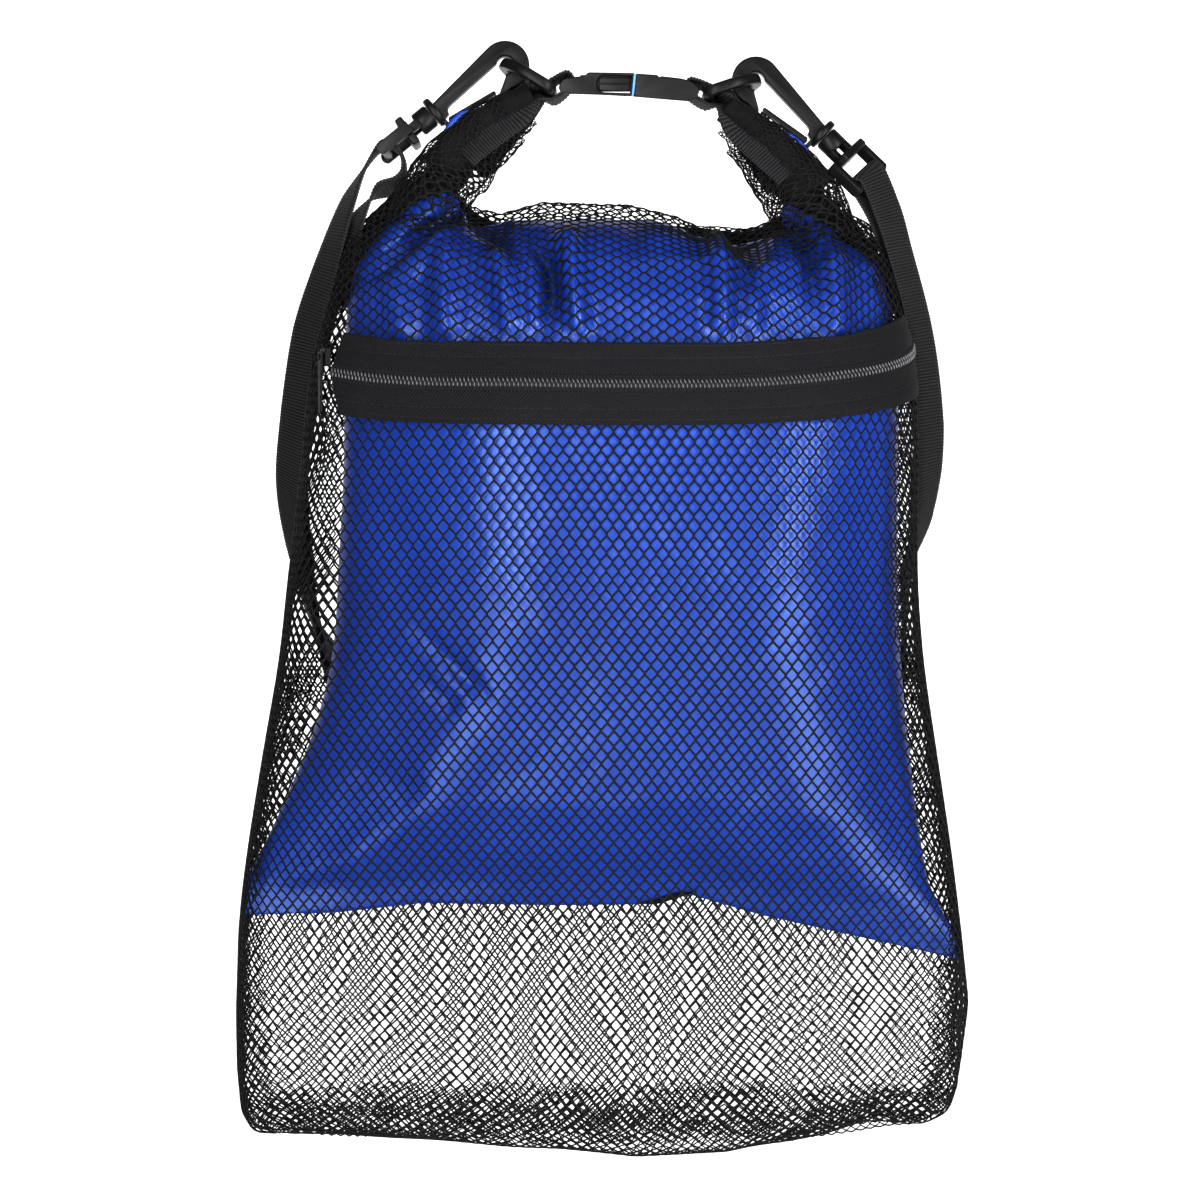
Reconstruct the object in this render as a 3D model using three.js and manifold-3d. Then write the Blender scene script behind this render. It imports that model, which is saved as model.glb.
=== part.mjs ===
// Mesh dry bag hanging from its buckled roll-top handle.
// Millimetres, +Z up, the front faces -Y, and the origin lies under the middle of the buckle.
import * as THREE from 'three';
import { mergeVertices } from 'three/addons/utils/BufferGeometryUtils.js';
import Module from 'manifold-3d';

const wasm = await Module();
wasm.setup();

// Sizes that several pieces share
const GAP = 0.4;
const WALL = 1.0;
const WEB_WIDTH = 20;
const WEB_THICK = 1.4;
const HALF_STEPS = 20;
const ARM_STEPS = 10;

// Girth of the net at each height: its edges, its depth each way and how square it is
const NET_ROWS = table(
  ['z', 'left', 'right', 'front', 'back', 'power'],
  [
    [-437, -140, 116, 30, 28, 3.2],
    [-433, -153, 128, 42, 39, 3.4],
    [-424, -160, 134, 48, 44, 3.4],
    [-408, -163, 137.5, 49, 45, 3.3],
    [-380, -164.5, 140.5, 50, 46, 3.2],
    [-350, -164.5, 140.5, 50.5, 46.5, 3.1],
    [-316, -160, 135, 52, 47, 2.9],
    [-266, -152, 127.5, 54, 48.5, 2.7],
    [-236, -146.5, 123, 55, 49, 2.6],
    [-200, -140, 118.5, 55.5, 49, 2.5],
    [-160, -132, 116, 55.5, 49, 2.45],
    [-127, -128, 115.5, 55.5, 48.5, 2.4],
    [-105, -126, 115.5, 54, 47, 2.35],
    [-87, -123.5, 113, 51, 44, 2.3],
    [-73, -119, 108, 45, 39, 2.25],
    [-63, -113.5, 102.5, 37, 33, 2.2],
    [-54, -105, 94, 26.5, 24, 2.1],
    [-47.5, -86, 74, 12, 12, 2.0],
    [-45, -62, 48, 4, 4, 2.0],
  ],
);

// Girth of the blue bag; hem says how far a row follows the slanting seam at the lower end
const CLOTH_ROWS = table(
  ['z', 'left', 'right', 'front', 'back', 'power', 'hem'],
  [
    [-340, -161, 137, 1.6, 1.6, 2.0, 1],
    [-335, -161, 136, 4, 3.8, 2.0, 0.94],
    [-326, -158.5, 128, 10, 9, 2.0, 0.82],
    [-316, -154, 124, 16, 14, 2.05, 0.68],
    [-295, -144, 120, 28, 25, 2.1, 0.39],
    [-266, -131.5, 116, 40, 36, 2.2, 0],
    [-236, -123.5, 113.5, 48, 42, 2.3, 0],
    [-200, -122, 112.5, 53, 46, 2.35, 0],
    [-160, -119.5, 112.5, 53.8, 47, 2.35, 0],
    [-127, -119.5, 113, 53.8, 46.5, 2.3, 0],
    [-87, -118.5, 110, 48.8, 42, 2.25, 0],
    [-73, -115.5, 105.5, 42.8, 36.8, 2.2, 0],
    [-63, -107, 96, 34, 30, 2.15, 0],
    [-56, -94, 83, 21, 19, 2.05, 0],
    [-51.5, -76, 64, 7, 7, 2.0, 0],
  ],
);
const HEM_LEVEL = -340;
const HEM = table(
  ['x', 'z'],
  [
    [-162, -343],
    [-123, -342],
    [-85, -338],
    [-30, -339],
    [6, -338.5],
    [25, -334.5],
    [55, -343],
    [136, -361],
  ],
);

// Main folds of the stuffed front, each a soft ridge or valley along a line
const FOLDS = table(
  ['fromX', 'fromZ', 'toX', 'toZ', 'half', 'rise'],
  [
    [-106, -80, -72, -50, 9, -5],
    [-92, -92, -60, -62, 10, 3],
    [-34, -62, -28, -104, 9, -3],
    [37, -64, 39, -104, 9, 3],
    [56, -62, 76, -100, 9, -3.5],
    [-84, -220, -66, -282, 14, 3],
    [-60, -222, -40, -300, 14, -4],
    [20, -170, 70, -290, 16, -4],
    [60, -180, 98, -280, 14, 3],
  ],
);

// The two arms of the handle, from tip to shoulder; twist turns the flat band to face front and
// inset moves the webbing on it towards the inner edge
const ARM_COLUMNS = ['x', 'z', 'half', 'thick', 'twist', 'inset'];
const ARMS = {
  left: table(ARM_COLUMNS, [
    [-39.5, -2.6, 9.6, 3, 62, 0],
    [-48.4, -8, 9.6, 3.6, 42, 2.4],
    [-57.6, -14.4, 10.2, 4.6, 22, 2.4],
    [-69, -26, 12.2, 7, 6, 1.5],
    [-79, -37, 13.5, 11, 0, 0],
    [-90, -62, 16, 20, 0, 0],
  ]),
  right: table(ARM_COLUMNS, [
    [39.5, -6.8, 9.6, 3, 70, 0],
    [47, -13.6, 9.8, 3.6, 50, 2],
    [56, -21.8, 10.4, 4.6, 32, 2],
    [66.5, -34.5, 12.4, 7.5, 12, 1.5],
    [75, -46, 15, 12, 0, 0],
    [83, -68, 16, 20, 0, 0],
  ]),
};
const TAIL_STATIONS = 4;

// The rolled mouth behind the top, from arm to arm
const ROLL_HALF = 11;
const ROLL_THICK = 6;
const ROLL = table(
  ['x', 'y', 'z'],
  [
    [-78, 9, -40],
    [-62, 24, -54],
    [-30, 29, -57],
    [0, 30, -57],
    [30, 29, -58],
    [52, 24, -60],
    [72, 9, -49],
  ],
);

// Zip band: height of its middle line and how far its ends rise
const ZIP_LEVEL = -125;
const ZIP_LEFT_RISE = 16;
const ZIP_RIGHT_RISE = 22;
const ZIP_TAPE = 16.5;
const ZIP_COIL = 2.6;

// Buckle, ring and hook places in the front view
const BUCKLE_MIDDLE = new THREE.Vector3(0, 0, 4.6);
const BUCKLE_TILT = THREE.MathUtils.degToRad(3);
const BUCKLE_BAR = 26.4;
const BUCKLE_BAR_HALF = 1.7;
const RING_WIRE = 2.3;
const RING_HALF = 14.3;
const RINGS = {
  left: { bar: new THREE.Vector3(-33, 0, 1.5), top: new THREE.Vector3(-52, 0, 13) },
  right: { bar: new THREE.Vector3(33.2, 0, -0.3), top: new THREE.Vector3(53.2, 0, 6.4) },
};
const CROOK = { along: 35.3, across: 3.5, inner: 3.8, outer: 10.2 };
const HOOK_THICK = 6;
const GATE_ROOT = { along: 3.6, across: 7.0, radius: 1.3 };
const STRAP_BAR = { along: -26, radius: 2 };
const HOOKS = {
  left: { angle: 39, side: 1, turn: 0 },
  right: { angle: 44, side: -1, turn: -45 },
};

// Shoulder strap: the slack loop below the left hook, then the run from the left hook behind the bag
// to the right hook; w gives the direction across the webbing
const STRAP_COLUMNS = ['x', 'y', 'z', 'wx', 'wy', 'wz'];
const STRAP_SLACK = table(STRAP_COLUMNS, [
  [-117.2, 0, -52, -0.25, 0.97, 0],
  [-110.5, 0, -40.2, -0.1, 1, 0],
  [-104.5, 0, -36.6, 0, 1, 0],
  [-98.5, 0, -35.2, 0, 1, 0],
  [-95, 0, -31, 0, 1, 0],
  [-94.6, 0, -26.4, 0, 1, 0],
  [-96.6, 0, -22.2, 0, 1, 0],
]);
const STRAP_RUN = table(STRAP_COLUMNS, [
  [-110, 0, -28.5, -0.1, 1, 0],
  [-117.4, 0, -42.5, -0.25, 0.97, 0],
  [-128.4, 1, -73, -0.33, 0.94, 0],
  [-136.4, 4, -98, -0.42, 0.9, 0],
  [-141, 9, -132, -0.58, 0.81, 0],
  [-142.4, 17, -160, -0.5, 0.87, 0],
  [-140, 35, -191, -0.37, 0.93, 0],
  [-133, 49, -222, -0.1, 0.9, 0.4],
  [-118, 57, -254, 0.45, 0.5, 0.75],
  [-98, 59.5, -284, 0.65, 0.15, 0.75],
  [-70, 60, -309, 0.5, 0, 0.87],
  [-35, 60, -325, 0.25, 0, 0.97],
  [0, 60, -330, 0, 0, 1],
  [35, 60, -322, -0.3, 0, 0.95],
  [68, 59.5, -303, -0.55, 0, 0.83],
  [96, 58, -276, -0.65, 0.2, 0.7],
  [115, 51, -247, -0.35, 0.7, 0.6],
  [122.5, 40, -222, -0.05, 0.97, 0.2],
  [124, 28, -198, 0.1, 1, 0],
  [126, 16, -176, 0.25, 0.97, 0],
  [127.5, 9, -158, 0.42, 0.9, 0],
  [128, 5, -138, 0.5, 0.87, 0],
  [123.8, 1, -100, 0.46, 0.89, 0],
  [115.4, -1, -64, 0.48, 0.88, 0],
  [109.6, -1.4, -48.5, 0.48, 0.8, 0.35],
]);
const STRAP_TAIL = table(STRAP_COLUMNS, [
  [107.4, 1.2, -50, 0.48, 0.8, 0.35],
  [112.4, 0.6, -62, 0.48, 0.88, 0],
]);
const STRAP_DOUBLED = { first: 2, last: 8, apart: 2 };
const STRAP_SAMPLES = 2;

const COLOURS = {
  net: 0x17171a,
  cloth: 0x1e3cb9,
  tape: 0x1d1d20,
  webbing: 0x18181b,
  plastic: 0x141416,
};

// Turns rows of numbers into records with named columns.
function table(columns, rows) {
  return rows.map((row) => Object.fromEntries(columns.map((name, i) => [name, row[i]])));
}

function vec(x, y, z) {
  return new THREE.Vector3(x, y, z);
}

// Reads one column of a table at a place between its rows.
function between(rows, key, at, column) {
  const rising = rows[rows.length - 1][key] > rows[0][key];
  const ordered = rising ? rows : [...rows].reverse();
  if (at <= ordered[0][key]) {
    return ordered[0][column];
  }
  for (let i = 1; i < ordered.length; i += 1) {
    const [low, high] = [ordered[i - 1], ordered[i]];
    if (at <= high[key]) {
      const share = (at - low[key]) / (high[key] - low[key]);
      return THREE.MathUtils.lerp(low[column], high[column], share);
    }
  }
  return ordered[ordered.length - 1][column];
}

// Joins rings of equal length into one closed surface, capped at its ends or bent round into a loop.
// Both halves of a ring split their facets along the same way, so a twisted strip keeps its thickness.
function skin(rings, loop = false) {
  const size = rings[0].length;
  const points = rings.flat();
  const faces = [];
  const spans = loop ? rings.length : rings.length - 1;
  for (let i = 0; i < spans; i += 1) {
    const next = (i + 1) % rings.length;
    for (let j = 0; j < size; j += 1) {
      const k = (j + 1) % size;
      const [a, b] = [i * size + j, i * size + k];
      const [c, d] = [next * size + k, next * size + j];
      const split = j < size / 2 ? [[a, b, c], [a, c, d]] : [[a, b, d], [b, c, d]];
      faces.push(...split);
    }
  }
  if (!loop) {
    const last = (rings.length - 1) * size;
    const ends = [[0, true], [last, false]];
    for (const [start, flip] of ends) {
      const hub = points.length;
      const middle = vec(0, 0, 0);
      for (let j = 0; j < size; j += 1) {
        middle.addScaledVector(points[start + j], 1 / size);
      }
      points.push(middle);
      for (let j = 0; j < size; j += 1) {
        const [a, b] = [start + j, start + ((j + 1) % size)];
        faces.push(flip ? [hub, b, a] : [hub, a, b]);
      }
    }
  }
  let volume = 0;
  for (const [a, b, c] of faces) {
    volume += points[a].dot(vec(0, 0, 0).crossVectors(points[b], points[c]));
  }
  const outward = volume > 0 ? faces : faces.map(([a, b, c]) => [a, c, b]);
  const geometry = new THREE.BufferGeometry();
  geometry.setFromPoints(points);
  geometry.setIndex(outward.flat());
  return geometry;
}

function solidOf(geometry) {
  const bare = new THREE.BufferGeometry();
  bare.setAttribute('position', geometry.getAttribute('position').clone());
  bare.setIndex(geometry.index);
  const merged = mergeVertices(bare, 1e-4);
  const mesh = new wasm.Mesh({
    numProp: 3,
    vertProperties: new Float32Array(merged.getAttribute('position').array),
    triVerts: new Uint32Array(merged.index.array),
  });
  return new wasm.Manifold(mesh);
}

function geometryOf(solid) {
  const mesh = solid.getMesh();
  const geometry = new THREE.BufferGeometry();
  geometry.setAttribute('position', new THREE.BufferAttribute(mesh.vertProperties, 3));
  geometry.setIndex(new THREE.BufferAttribute(mesh.triVerts, 1));
  return geometry;
}

function union(...geometries) {
  return wasm.Manifold.union(geometries.map(solidOf));
}

// A box between two corners.
function box(x0, x1, y0, y1, z0, z1) {
  const geometry = new THREE.BoxGeometry(x1 - x0, y1 - y0, z1 - z0);
  return geometry.translate((x0 + x1) / 2, (y0 + y1) / 2, (z0 + z1) / 2);
}

function foldRise(x, z) {
  let rise = 0;
  for (const fold of FOLDS) {
    const run = new THREE.Vector2(fold.toX - fold.fromX, fold.toZ - fold.fromZ);
    const spot = new THREE.Vector2(x - fold.fromX, z - fold.fromZ);
    const share = THREE.MathUtils.clamp(spot.dot(run) / run.lengthSq(), 0, 1);
    const away = spot.addScaledVector(run, -share).length() / fold.half;
    rise += fold.rise * Math.exp(-away * away);
  }
  return rise;
}

// Half a girth from left to right as evenly spaced points of x and depth.
function halfGirth(reach, depth, power) {
  const fine = [];
  const samples = 400;
  for (let i = 0; i <= samples; i += 1) {
    const turn = (Math.PI * i) / samples;
    const swing = Math.cos(turn);
    const x = -Math.sign(swing) * Math.abs(swing) ** (2 / power) * reach;
    const y = Math.abs(Math.sin(turn)) ** (2 / power) * depth;
    fine.push(new THREE.Vector2(x, y));
  }
  const length = [0];
  for (let i = 1; i <= samples; i += 1) {
    length.push(length[i - 1] + fine[i].distanceTo(fine[i - 1]));
  }
  const points = [];
  let at = 0;
  for (let step = 0; step <= HALF_STEPS; step += 1) {
    const goal = (length[samples] * step) / HALF_STEPS;
    while (at < samples - 1 && length[at + 1] < goal) {
      at += 1;
    }
    const share = (goal - length[at]) / (length[at + 1] - length[at]);
    points.push(fine[at].clone().lerp(fine[at + 1], Math.min(share, 1)));
  }
  return points;
}

// One girth of a bag: the front from left to right, then the back from right to left.
function girth(row, inset) {
  const reach = (row.right - row.left) / 2 - inset;
  const middle = (row.right + row.left) / 2;
  const front = halfGirth(reach, row.front - inset, row.power);
  const back = halfGirth(reach, row.back - inset, row.power);
  const place = (spot, side) => {
    const x = middle + spot.x;
    const slant = row.hem ? row.hem * (between(HEM, 'x', x, 'z') - HEM_LEVEL) : 0;
    const z = row.z + slant;
    const depth = side < 0 ? spot.y / row.front : 0;
    return vec(x, side * spot.y - depth * foldRise(x, z), z);
  };
  const ring = front.map((spot) => place(spot, -1));
  for (let i = HALF_STEPS - 1; i > 0; i -= 1) {
    ring.push(place(back[i], 1));
  }
  return ring;
}

// Frames along an arm: middle, direction, direction across the band and direction it faces.
function armFrames(name) {
  const side = name === 'left' ? 1 : -1;
  const rows = ARMS[name];
  return rows.map((row, i) => {
    const before = rows[Math.min(i + 1, rows.length - 1)];
    const after = rows[Math.max(i - 1, 0)];
    const along = vec(after.x - before.x, 0, after.z - before.z).normalize();
    const outward = vec(-along.z * side, 0, along.x * side);
    const facing = vec(0, -1, 0);
    const twist = THREE.MathUtils.degToRad(row.twist);
    const across = outward.clone().multiplyScalar(Math.cos(twist));
    across.addScaledVector(facing, Math.sin(twist));
    const normal = facing.clone().multiplyScalar(Math.cos(twist));
    normal.addScaledVector(outward, -Math.sin(twist));
    return { ...row, middle: vec(row.x, 0, row.z), along, across, normal };
  });
}

// One arm of a bag as a band of rounded section; extend carries its tip onwards.
function arm(name, inset, skip, extend) {
  const frames = armFrames(name).slice(skip);
  const rings = frames.map((frame, i) => {
    const middle = frame.middle.clone();
    if (i === 0) {
      middle.addScaledVector(frame.along, extend);
    }
    const ring = [];
    for (let j = 0; j < ARM_STEPS; j += 1) {
      const turn = (2 * Math.PI * j) / ARM_STEPS;
      const [c, s] = [Math.cos(turn), Math.sin(turn)];
      const wide = Math.sign(c) * Math.abs(c) ** 0.7 * (frame.half - inset);
      const deep = Math.sign(s) * Math.abs(s) ** 0.7 * (frame.thick - inset);
      const point = middle.clone().addScaledVector(frame.across, wide);
      ring.push(point.addScaledVector(frame.normal, deep));
    }
    return ring;
  });
  return skin(rings);
}

function mouthRoll() {
  const rings = ROLL.map((row) => {
    const ring = [];
    for (let j = 0; j < ARM_STEPS; j += 1) {
      const turn = (2 * Math.PI * j) / ARM_STEPS;
      const deep = Math.cos(turn) * ROLL_THICK;
      const tall = Math.sin(turn) * ROLL_HALF;
      ring.push(vec(row.x, row.y + deep, row.z + tall));
    }
    return ring;
  });
  return skin(rings);
}

// A hollow bag: walls round one space that runs out through the tips of its arms.
function bag(rows, outset, skip, floorRows, floor, extras) {
  const outerRings = rows.map((row) => girth(row, 0));
  const innerRows = rows.slice(floorRows).map((row, i) => ({ ...row, z: row.z + (i === 0 ? floor : 0) }));
  const innerRings = innerRows.map((row) => girth(row, WALL));
  const top = innerRings[innerRings.length - 1];
  for (const point of top) {
    point.z -= WALL;
  }
  const outer = union(
    skin(outerRings),
    arm('left', outset, skip, 0),
    arm('right', outset, skip, 0),
    ...extras,
  );
  const inner = union(
    skin(innerRings),
    arm('left', outset + WALL, skip, 3),
    arm('right', outset + WALL, skip, 3),
  );
  return geometryOf(outer.subtract(inner));
}

// The front of the net as faceted: a point and the way it faces, at a step across and a height.
const NET_RINGS = NET_ROWS.map((row) => girth(row, 0));
function netFront(step, z) {
  let i = 1;
  while (i < NET_ROWS.length - 1 && NET_ROWS[i].z < z) {
    i += 1;
  }
  const [low, high] = [NET_ROWS[i - 1], NET_ROWS[i]];
  const share = (z - low.z) / (high.z - low.z);
  const read = (j) => NET_RINGS[i - 1][j].clone().lerp(NET_RINGS[i][j], share);
  const point = read(step);
  const left = step > 0 ? read(step - 1) : read(NET_RINGS[i].length - 1);
  const right = read(step + 1);
  const across = right.sub(left).normalize();
  const rise = NET_RINGS[i][step].clone().sub(NET_RINGS[i - 1][step]).normalize();
  const normal = vec(0, 0, 0).crossVectors(across, rise).normalize();
  return { point, normal };
}

function zipLevel(step) {
  const place = (2 * step) / HALF_STEPS - 1;
  const rise = place < 0 ? ZIP_LEFT_RISE : ZIP_RIGHT_RISE;
  return ZIP_LEVEL + rise * Math.abs(place) ** 3.5;
}

// A strip across the front of the net between two heights from the zip line and two stand-offs.
function zipStrip(firstStep, low, high, near, far) {
  const rings = [];
  for (let step = firstStep; step <= HALF_STEPS; step += 1) {
    const level = zipLevel(step);
    const corners = [
      [low, near],
      [high, near],
      [high, far],
      [low, far],
    ];
    rings.push(
      corners.map(([rise, off]) => {
        const { point, normal } = netFront(step, level + rise);
        return point.addScaledVector(normal, off);
      }),
    );
  }
  return skin(rings);
}

// The two directions of a strip at a station: across it and out of its face.
function stripAxes(along, across) {
  const square = across.clone().addScaledVector(along, -across.dot(along)).normalize();
  return { across: square, normal: vec(0, 0, 0).crossVectors(square, along) };
}

// One cross-section of webbing.
function webSection(middle, across, normal) {
  const corners = [
    [-1, -1],
    [1, -1],
    [1, 1],
    [-1, 1],
  ];
  return corners.map(([wide, deep]) => {
    const point = middle.clone().addScaledVector(across, (wide * WEB_WIDTH) / 2);
    return point.addScaledVector(normal, (deep * WEB_THICK) / 2);
  });
}

// Webbing that runs smoothly through stations with a middle and a direction across.
function ribbon(stations, samples) {
  const path = new THREE.CatmullRomCurve3(stations.map((s) => s.middle), false, 'centripetal');
  const count = (stations.length - 1) * samples;
  const rings = [];
  for (let i = 0; i <= count; i += 1) {
    const at = i / count;
    const index = Math.min(Math.floor(i / samples), stations.length - 2);
    const share = i / samples - index;
    const lean = stations[index].across.clone().lerp(stations[index + 1].across, share);
    const { across, normal } = stripAxes(path.getTangent(at), lean);
    rings.push(webSection(path.getPoint(at), across, normal));
  }
  return skin(rings);
}

function buckleBar(name) {
  const side = name === 'left' ? -1 : 1;
  const bar = vec(side * BUCKLE_BAR, 0, 0);
  return bar.applyAxisAngle(vec(0, 1, 0), BUCKLE_TILT).add(BUCKLE_MIDDLE);
}

// Webbing on an arm: along its front, round the ring bar and the buckle bar, and along its back.
function tab(name) {
  const frames = armFrames(name).slice(0, TAIL_STATIONS);
  const stand = GAP + WEB_THICK / 2;
  const tail = (sign) =>
    frames.map((frame) => {
      const middle = frame.middle.clone().addScaledVector(frame.across, -frame.inset);
      middle.addScaledVector(frame.normal, sign * (frame.thick + stand));
      return webSection(middle, frame.across, frame.normal.clone().multiplyScalar(sign));
    });
  const [ring, bar] = [RINGS[name].bar, buckleBar(name)];
  const onward = bar.clone().sub(ring).normalize();
  const side = name === 'left' ? 1 : -1;
  const under = vec(onward.z * side, 0, -onward.x * side);
  const over = under.clone().negate();
  const around = (hub, direction, radius) => {
    const middle = hub.clone().addScaledVector(direction, radius + stand);
    return webSection(middle, vec(0, -1, 0), direction);
  };
  const loop = [
    around(ring, under, RING_WIRE),
    around(bar, under, BUCKLE_BAR_HALF),
    around(bar, under.clone().add(onward).normalize(), BUCKLE_BAR_HALF + 0.3),
    around(bar, onward, BUCKLE_BAR_HALF),
    around(bar, over.clone().add(onward).normalize(), BUCKLE_BAR_HALF + 0.3),
    around(bar, over, BUCKLE_BAR_HALF),
    around(ring, over, RING_WIRE),
  ];
  return skin([...tail(1).reverse(), ...loop, ...tail(-1)]);
}

// A D-ring: a straight bar through the webbing loop and a bow that the hook takes.
function ring(name) {
  const { bar, top } = RINGS[name];
  const rise = top.clone().sub(bar);
  const height = rise.length();
  rise.normalize();
  const bow = 0.42 * height;
  const points = [];
  const add = (y, up) => points.push(vec(0, y, 0).add(bar).addScaledVector(rise, up));
  for (const y of [-0.8, -0.27, 0.27, 0.8]) {
    add(y * RING_HALF, 0);
  }
  add(0.97 * RING_HALF, 0.05 * height);
  add(RING_HALF, 0.2 * height);
  for (let i = 0; i <= 8; i += 1) {
    const turn = (Math.PI * i) / 8;
    add(Math.cos(turn) * RING_HALF, bow + Math.sin(turn) * (height - bow));
  }
  add(-RING_HALF, 0.2 * height);
  add(-0.97 * RING_HALF, 0.05 * height);
  const flat = vec(0, 0, 0).crossVectors(rise, vec(0, 1, 0));
  const rings = points.map((point, i) => {
    const before = points[(i + points.length - 1) % points.length];
    const after = points[(i + 1) % points.length];
    const along = after.clone().sub(before).normalize();
    const across = vec(0, 0, 0).crossVectors(along, flat).normalize();
    const wire = [];
    for (let j = 0; j < 8; j += 1) {
      const turn = (2 * Math.PI * (j + 0.5)) / 8;
      const spot = point.clone().addScaledVector(across, Math.cos(turn) * RING_WIRE);
      wire.push(spot.addScaledVector(flat, Math.sin(turn) * RING_WIRE));
    }
    return wire;
  });
  return skin(rings, true);
}

// The frame of a hook: along from collar to crook, across towards the gate, its collar at the origin.
function hookFrame(name) {
  const { angle, side } = HOOKS[name];
  const turn = THREE.MathUtils.degToRad(angle);
  const along = vec(Math.cos(turn) * side, 0, Math.sin(turn));
  const across = vec(Math.sin(turn) * side, 0, -Math.cos(turn));
  const normal = vec(0, 0, 0).crossVectors(along, across);
  const collar = RINGS[name].top.clone();
  collar.addScaledVector(along, -CROOK.along);
  collar.addScaledVector(across, -CROOK.across);
  const matrix = new THREE.Matrix4().makeBasis(along, across, normal);
  return matrix.setPosition(collar);
}

function plate(shape, thick, bevel) {
  const geometry = new THREE.ExtrudeGeometry(shape, {
    depth: thick - 2 * bevel,
    bevelEnabled: bevel > 0,
    bevelThickness: bevel,
    bevelSize: bevel,
    bevelOffset: -bevel,
    bevelSegments: 1,
    curveSegments: 5,
  });
  return geometry.translate(0, 0, bevel - thick / 2);
}

// A round post along the hook's own direction.
function post(from, to, radius) {
  const geometry = new THREE.CylinderGeometry(radius, radius, to - from, 12);
  return geometry.rotateZ(Math.PI / 2).translate((from + to) / 2, 0, 0);
}

function hook(name) {
  const { along, across, inner, outer } = CROOK;
  const shape = new THREE.Shape();
  shape.moveTo(1.2, -3);
  shape.lineTo(along - 6, across - 8.4);
  shape.absarc(along, across, outer, -2.19, 1.95, false);
  shape.lineTo(26.4, 13);
  shape.quadraticCurveTo(25, 12.6, 25.6, 11.6);
  shape.lineTo(32.2, 7.6);
  shape.absarc(along, across, inner, 2.2, -2.3, true);
  shape.lineTo(7, 2.4);
  shape.quadraticCurveTo(4.6, 2.6, 4.3, 4.4);
  shape.lineTo(1.8, 5);
  shape.lineTo(1.8, 8.6);
  shape.lineTo(0, 8.6);
  shape.lineTo(0, -3);
  const collar = post(-1.5, 1.4, 6.7);
  return geometryOf(union(plate(shape, HOOK_THICK, 0.5), collar)).applyMatrix4(hookFrame(name));
}

function gate(name) {
  const { along, across, radius } = GATE_ROOT;
  const shape = new THREE.Shape();
  shape.absarc(along, across, radius, 0.5 * Math.PI, 1.62 * Math.PI, false);
  shape.lineTo(24.6, 8.9);
  shape.quadraticCurveTo(25.4, 9.6, 24.6, 10.6);
  return plate(shape, HOOK_THICK - 1, 0.3).applyMatrix4(hookFrame(name));
}

// The turning end of a hook: hub, wing, two side arms and the bar that the strap goes round.
function swivel(name) {
  const hub = post(-9, -1.5 - GAP, 5.2);
  const wing = box(-16, -12.5, -6.5, 6.5, -9, 9);
  const bar = new THREE.CylinderGeometry(STRAP_BAR.radius, STRAP_BAR.radius, 26, 10);
  bar.rotateX(Math.PI / 2).translate(STRAP_BAR.along, 0, 0);
  const pieces = [hub, wing, bar];
  for (const side of [-1, 1]) {
    pieces.push(box(-13, -8, -2, 2, side * 5 - 1.5, side * 5 + 1.5));
    const reach = new THREE.Shape();
    reach.moveTo(-12.5, -2.6);
    reach.lineTo(-12.5, 2.6);
    reach.lineTo(-26, 2.6);
    reach.quadraticCurveTo(-30, 2.2, -30, 0);
    reach.quadraticCurveTo(-30, -2.2, -26, -2.6);
    pieces.push(plate(reach, 3, 0).translate(0, 0, side * 12));
    pieces.push(box(-16, -12.5, -2.6, 2.6, side * 12 - 4, side * 12 + 1));
  }
  const turn = new THREE.Matrix4().makeRotationX(THREE.MathUtils.degToRad(HOOKS[name].turn));
  return geometryOf(union(...pieces)).applyMatrix4(turn).applyMatrix4(hookFrame(name));
}

// Both buckle halves share a frame of their own: along x, wide in y, thick in z.
function buckleHalf(side, shell) {
  const body = new THREE.Shape();
  const [inside, outside] = side < 0 ? [2.6, -29] : [3.1, 29];
  const turn = side * 3;
  body.moveTo(inside, -13);
  body.lineTo(outside - turn, -13);
  body.quadraticCurveTo(outside, -13, outside, -13 + 3);
  body.lineTo(outside, 13 - 3);
  body.quadraticCurveTo(outside, 13, outside - turn, 13);
  body.lineTo(inside, 13);
  const block = plate(body, 8.8, 0.8);
  const end = [side * 22.6, side * 29.5].sort((a, b) => a - b);
  const space = box(end[0], end[1], -10.5, 10.5, -6, 6);
  const bar = new THREE.CylinderGeometry(BUCKLE_BAR_HALF, BUCKLE_BAR_HALF, 23, 10);
  bar.translate(side * BUCKLE_BAR, 0, 0);
  const { adds, takes } = shell;
  return union(block, ...adds).subtract(union(space, ...takes)).add(solidOf(bar));
}

function placeBuckle(solid) {
  const geometry = geometryOf(solid).rotateY(BUCKLE_TILT);
  return geometry.translate(BUCKLE_MIDDLE.x, BUCKLE_MIDDLE.y, BUCKLE_MIDDLE.z);
}

function buckleFemale() {
  const adds = [box(-11, 2, -9, 9, 3, 4.9)];
  const takes = [
    box(-15, 3, -11.4, 11.4, -3, 3),
    box(-14, 1.2, 11, 14, -3, 3),
    box(-14, 1.2, -14, -11, -3, 3),
  ];
  return placeBuckle(buckleHalf(-1, { adds, takes }));
}

function buckleMale() {
  const adds = [box(-12, 4, -4, 4, -2, 2)];
  for (const side of [-1, 1]) {
    const inner = Math.min(side * 8.2, side * 10.9);
    adds.push(box(-12.5, 4, inner, inner + 2.7, -2.5, 2.5));
    const head = Math.min(side * 8.2, side * 12.4);
    adds.push(box(-13, -6, head, head + 4.2, -2.5, 2.5));
  }
  const takes = [box(19.6, 20.4, -14, 14, 3.4, 6), box(19.6, 20.4, -14, 14, -6, -3.4)];
  return placeBuckle(buckleHalf(1, { adds, takes }));
}

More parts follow.
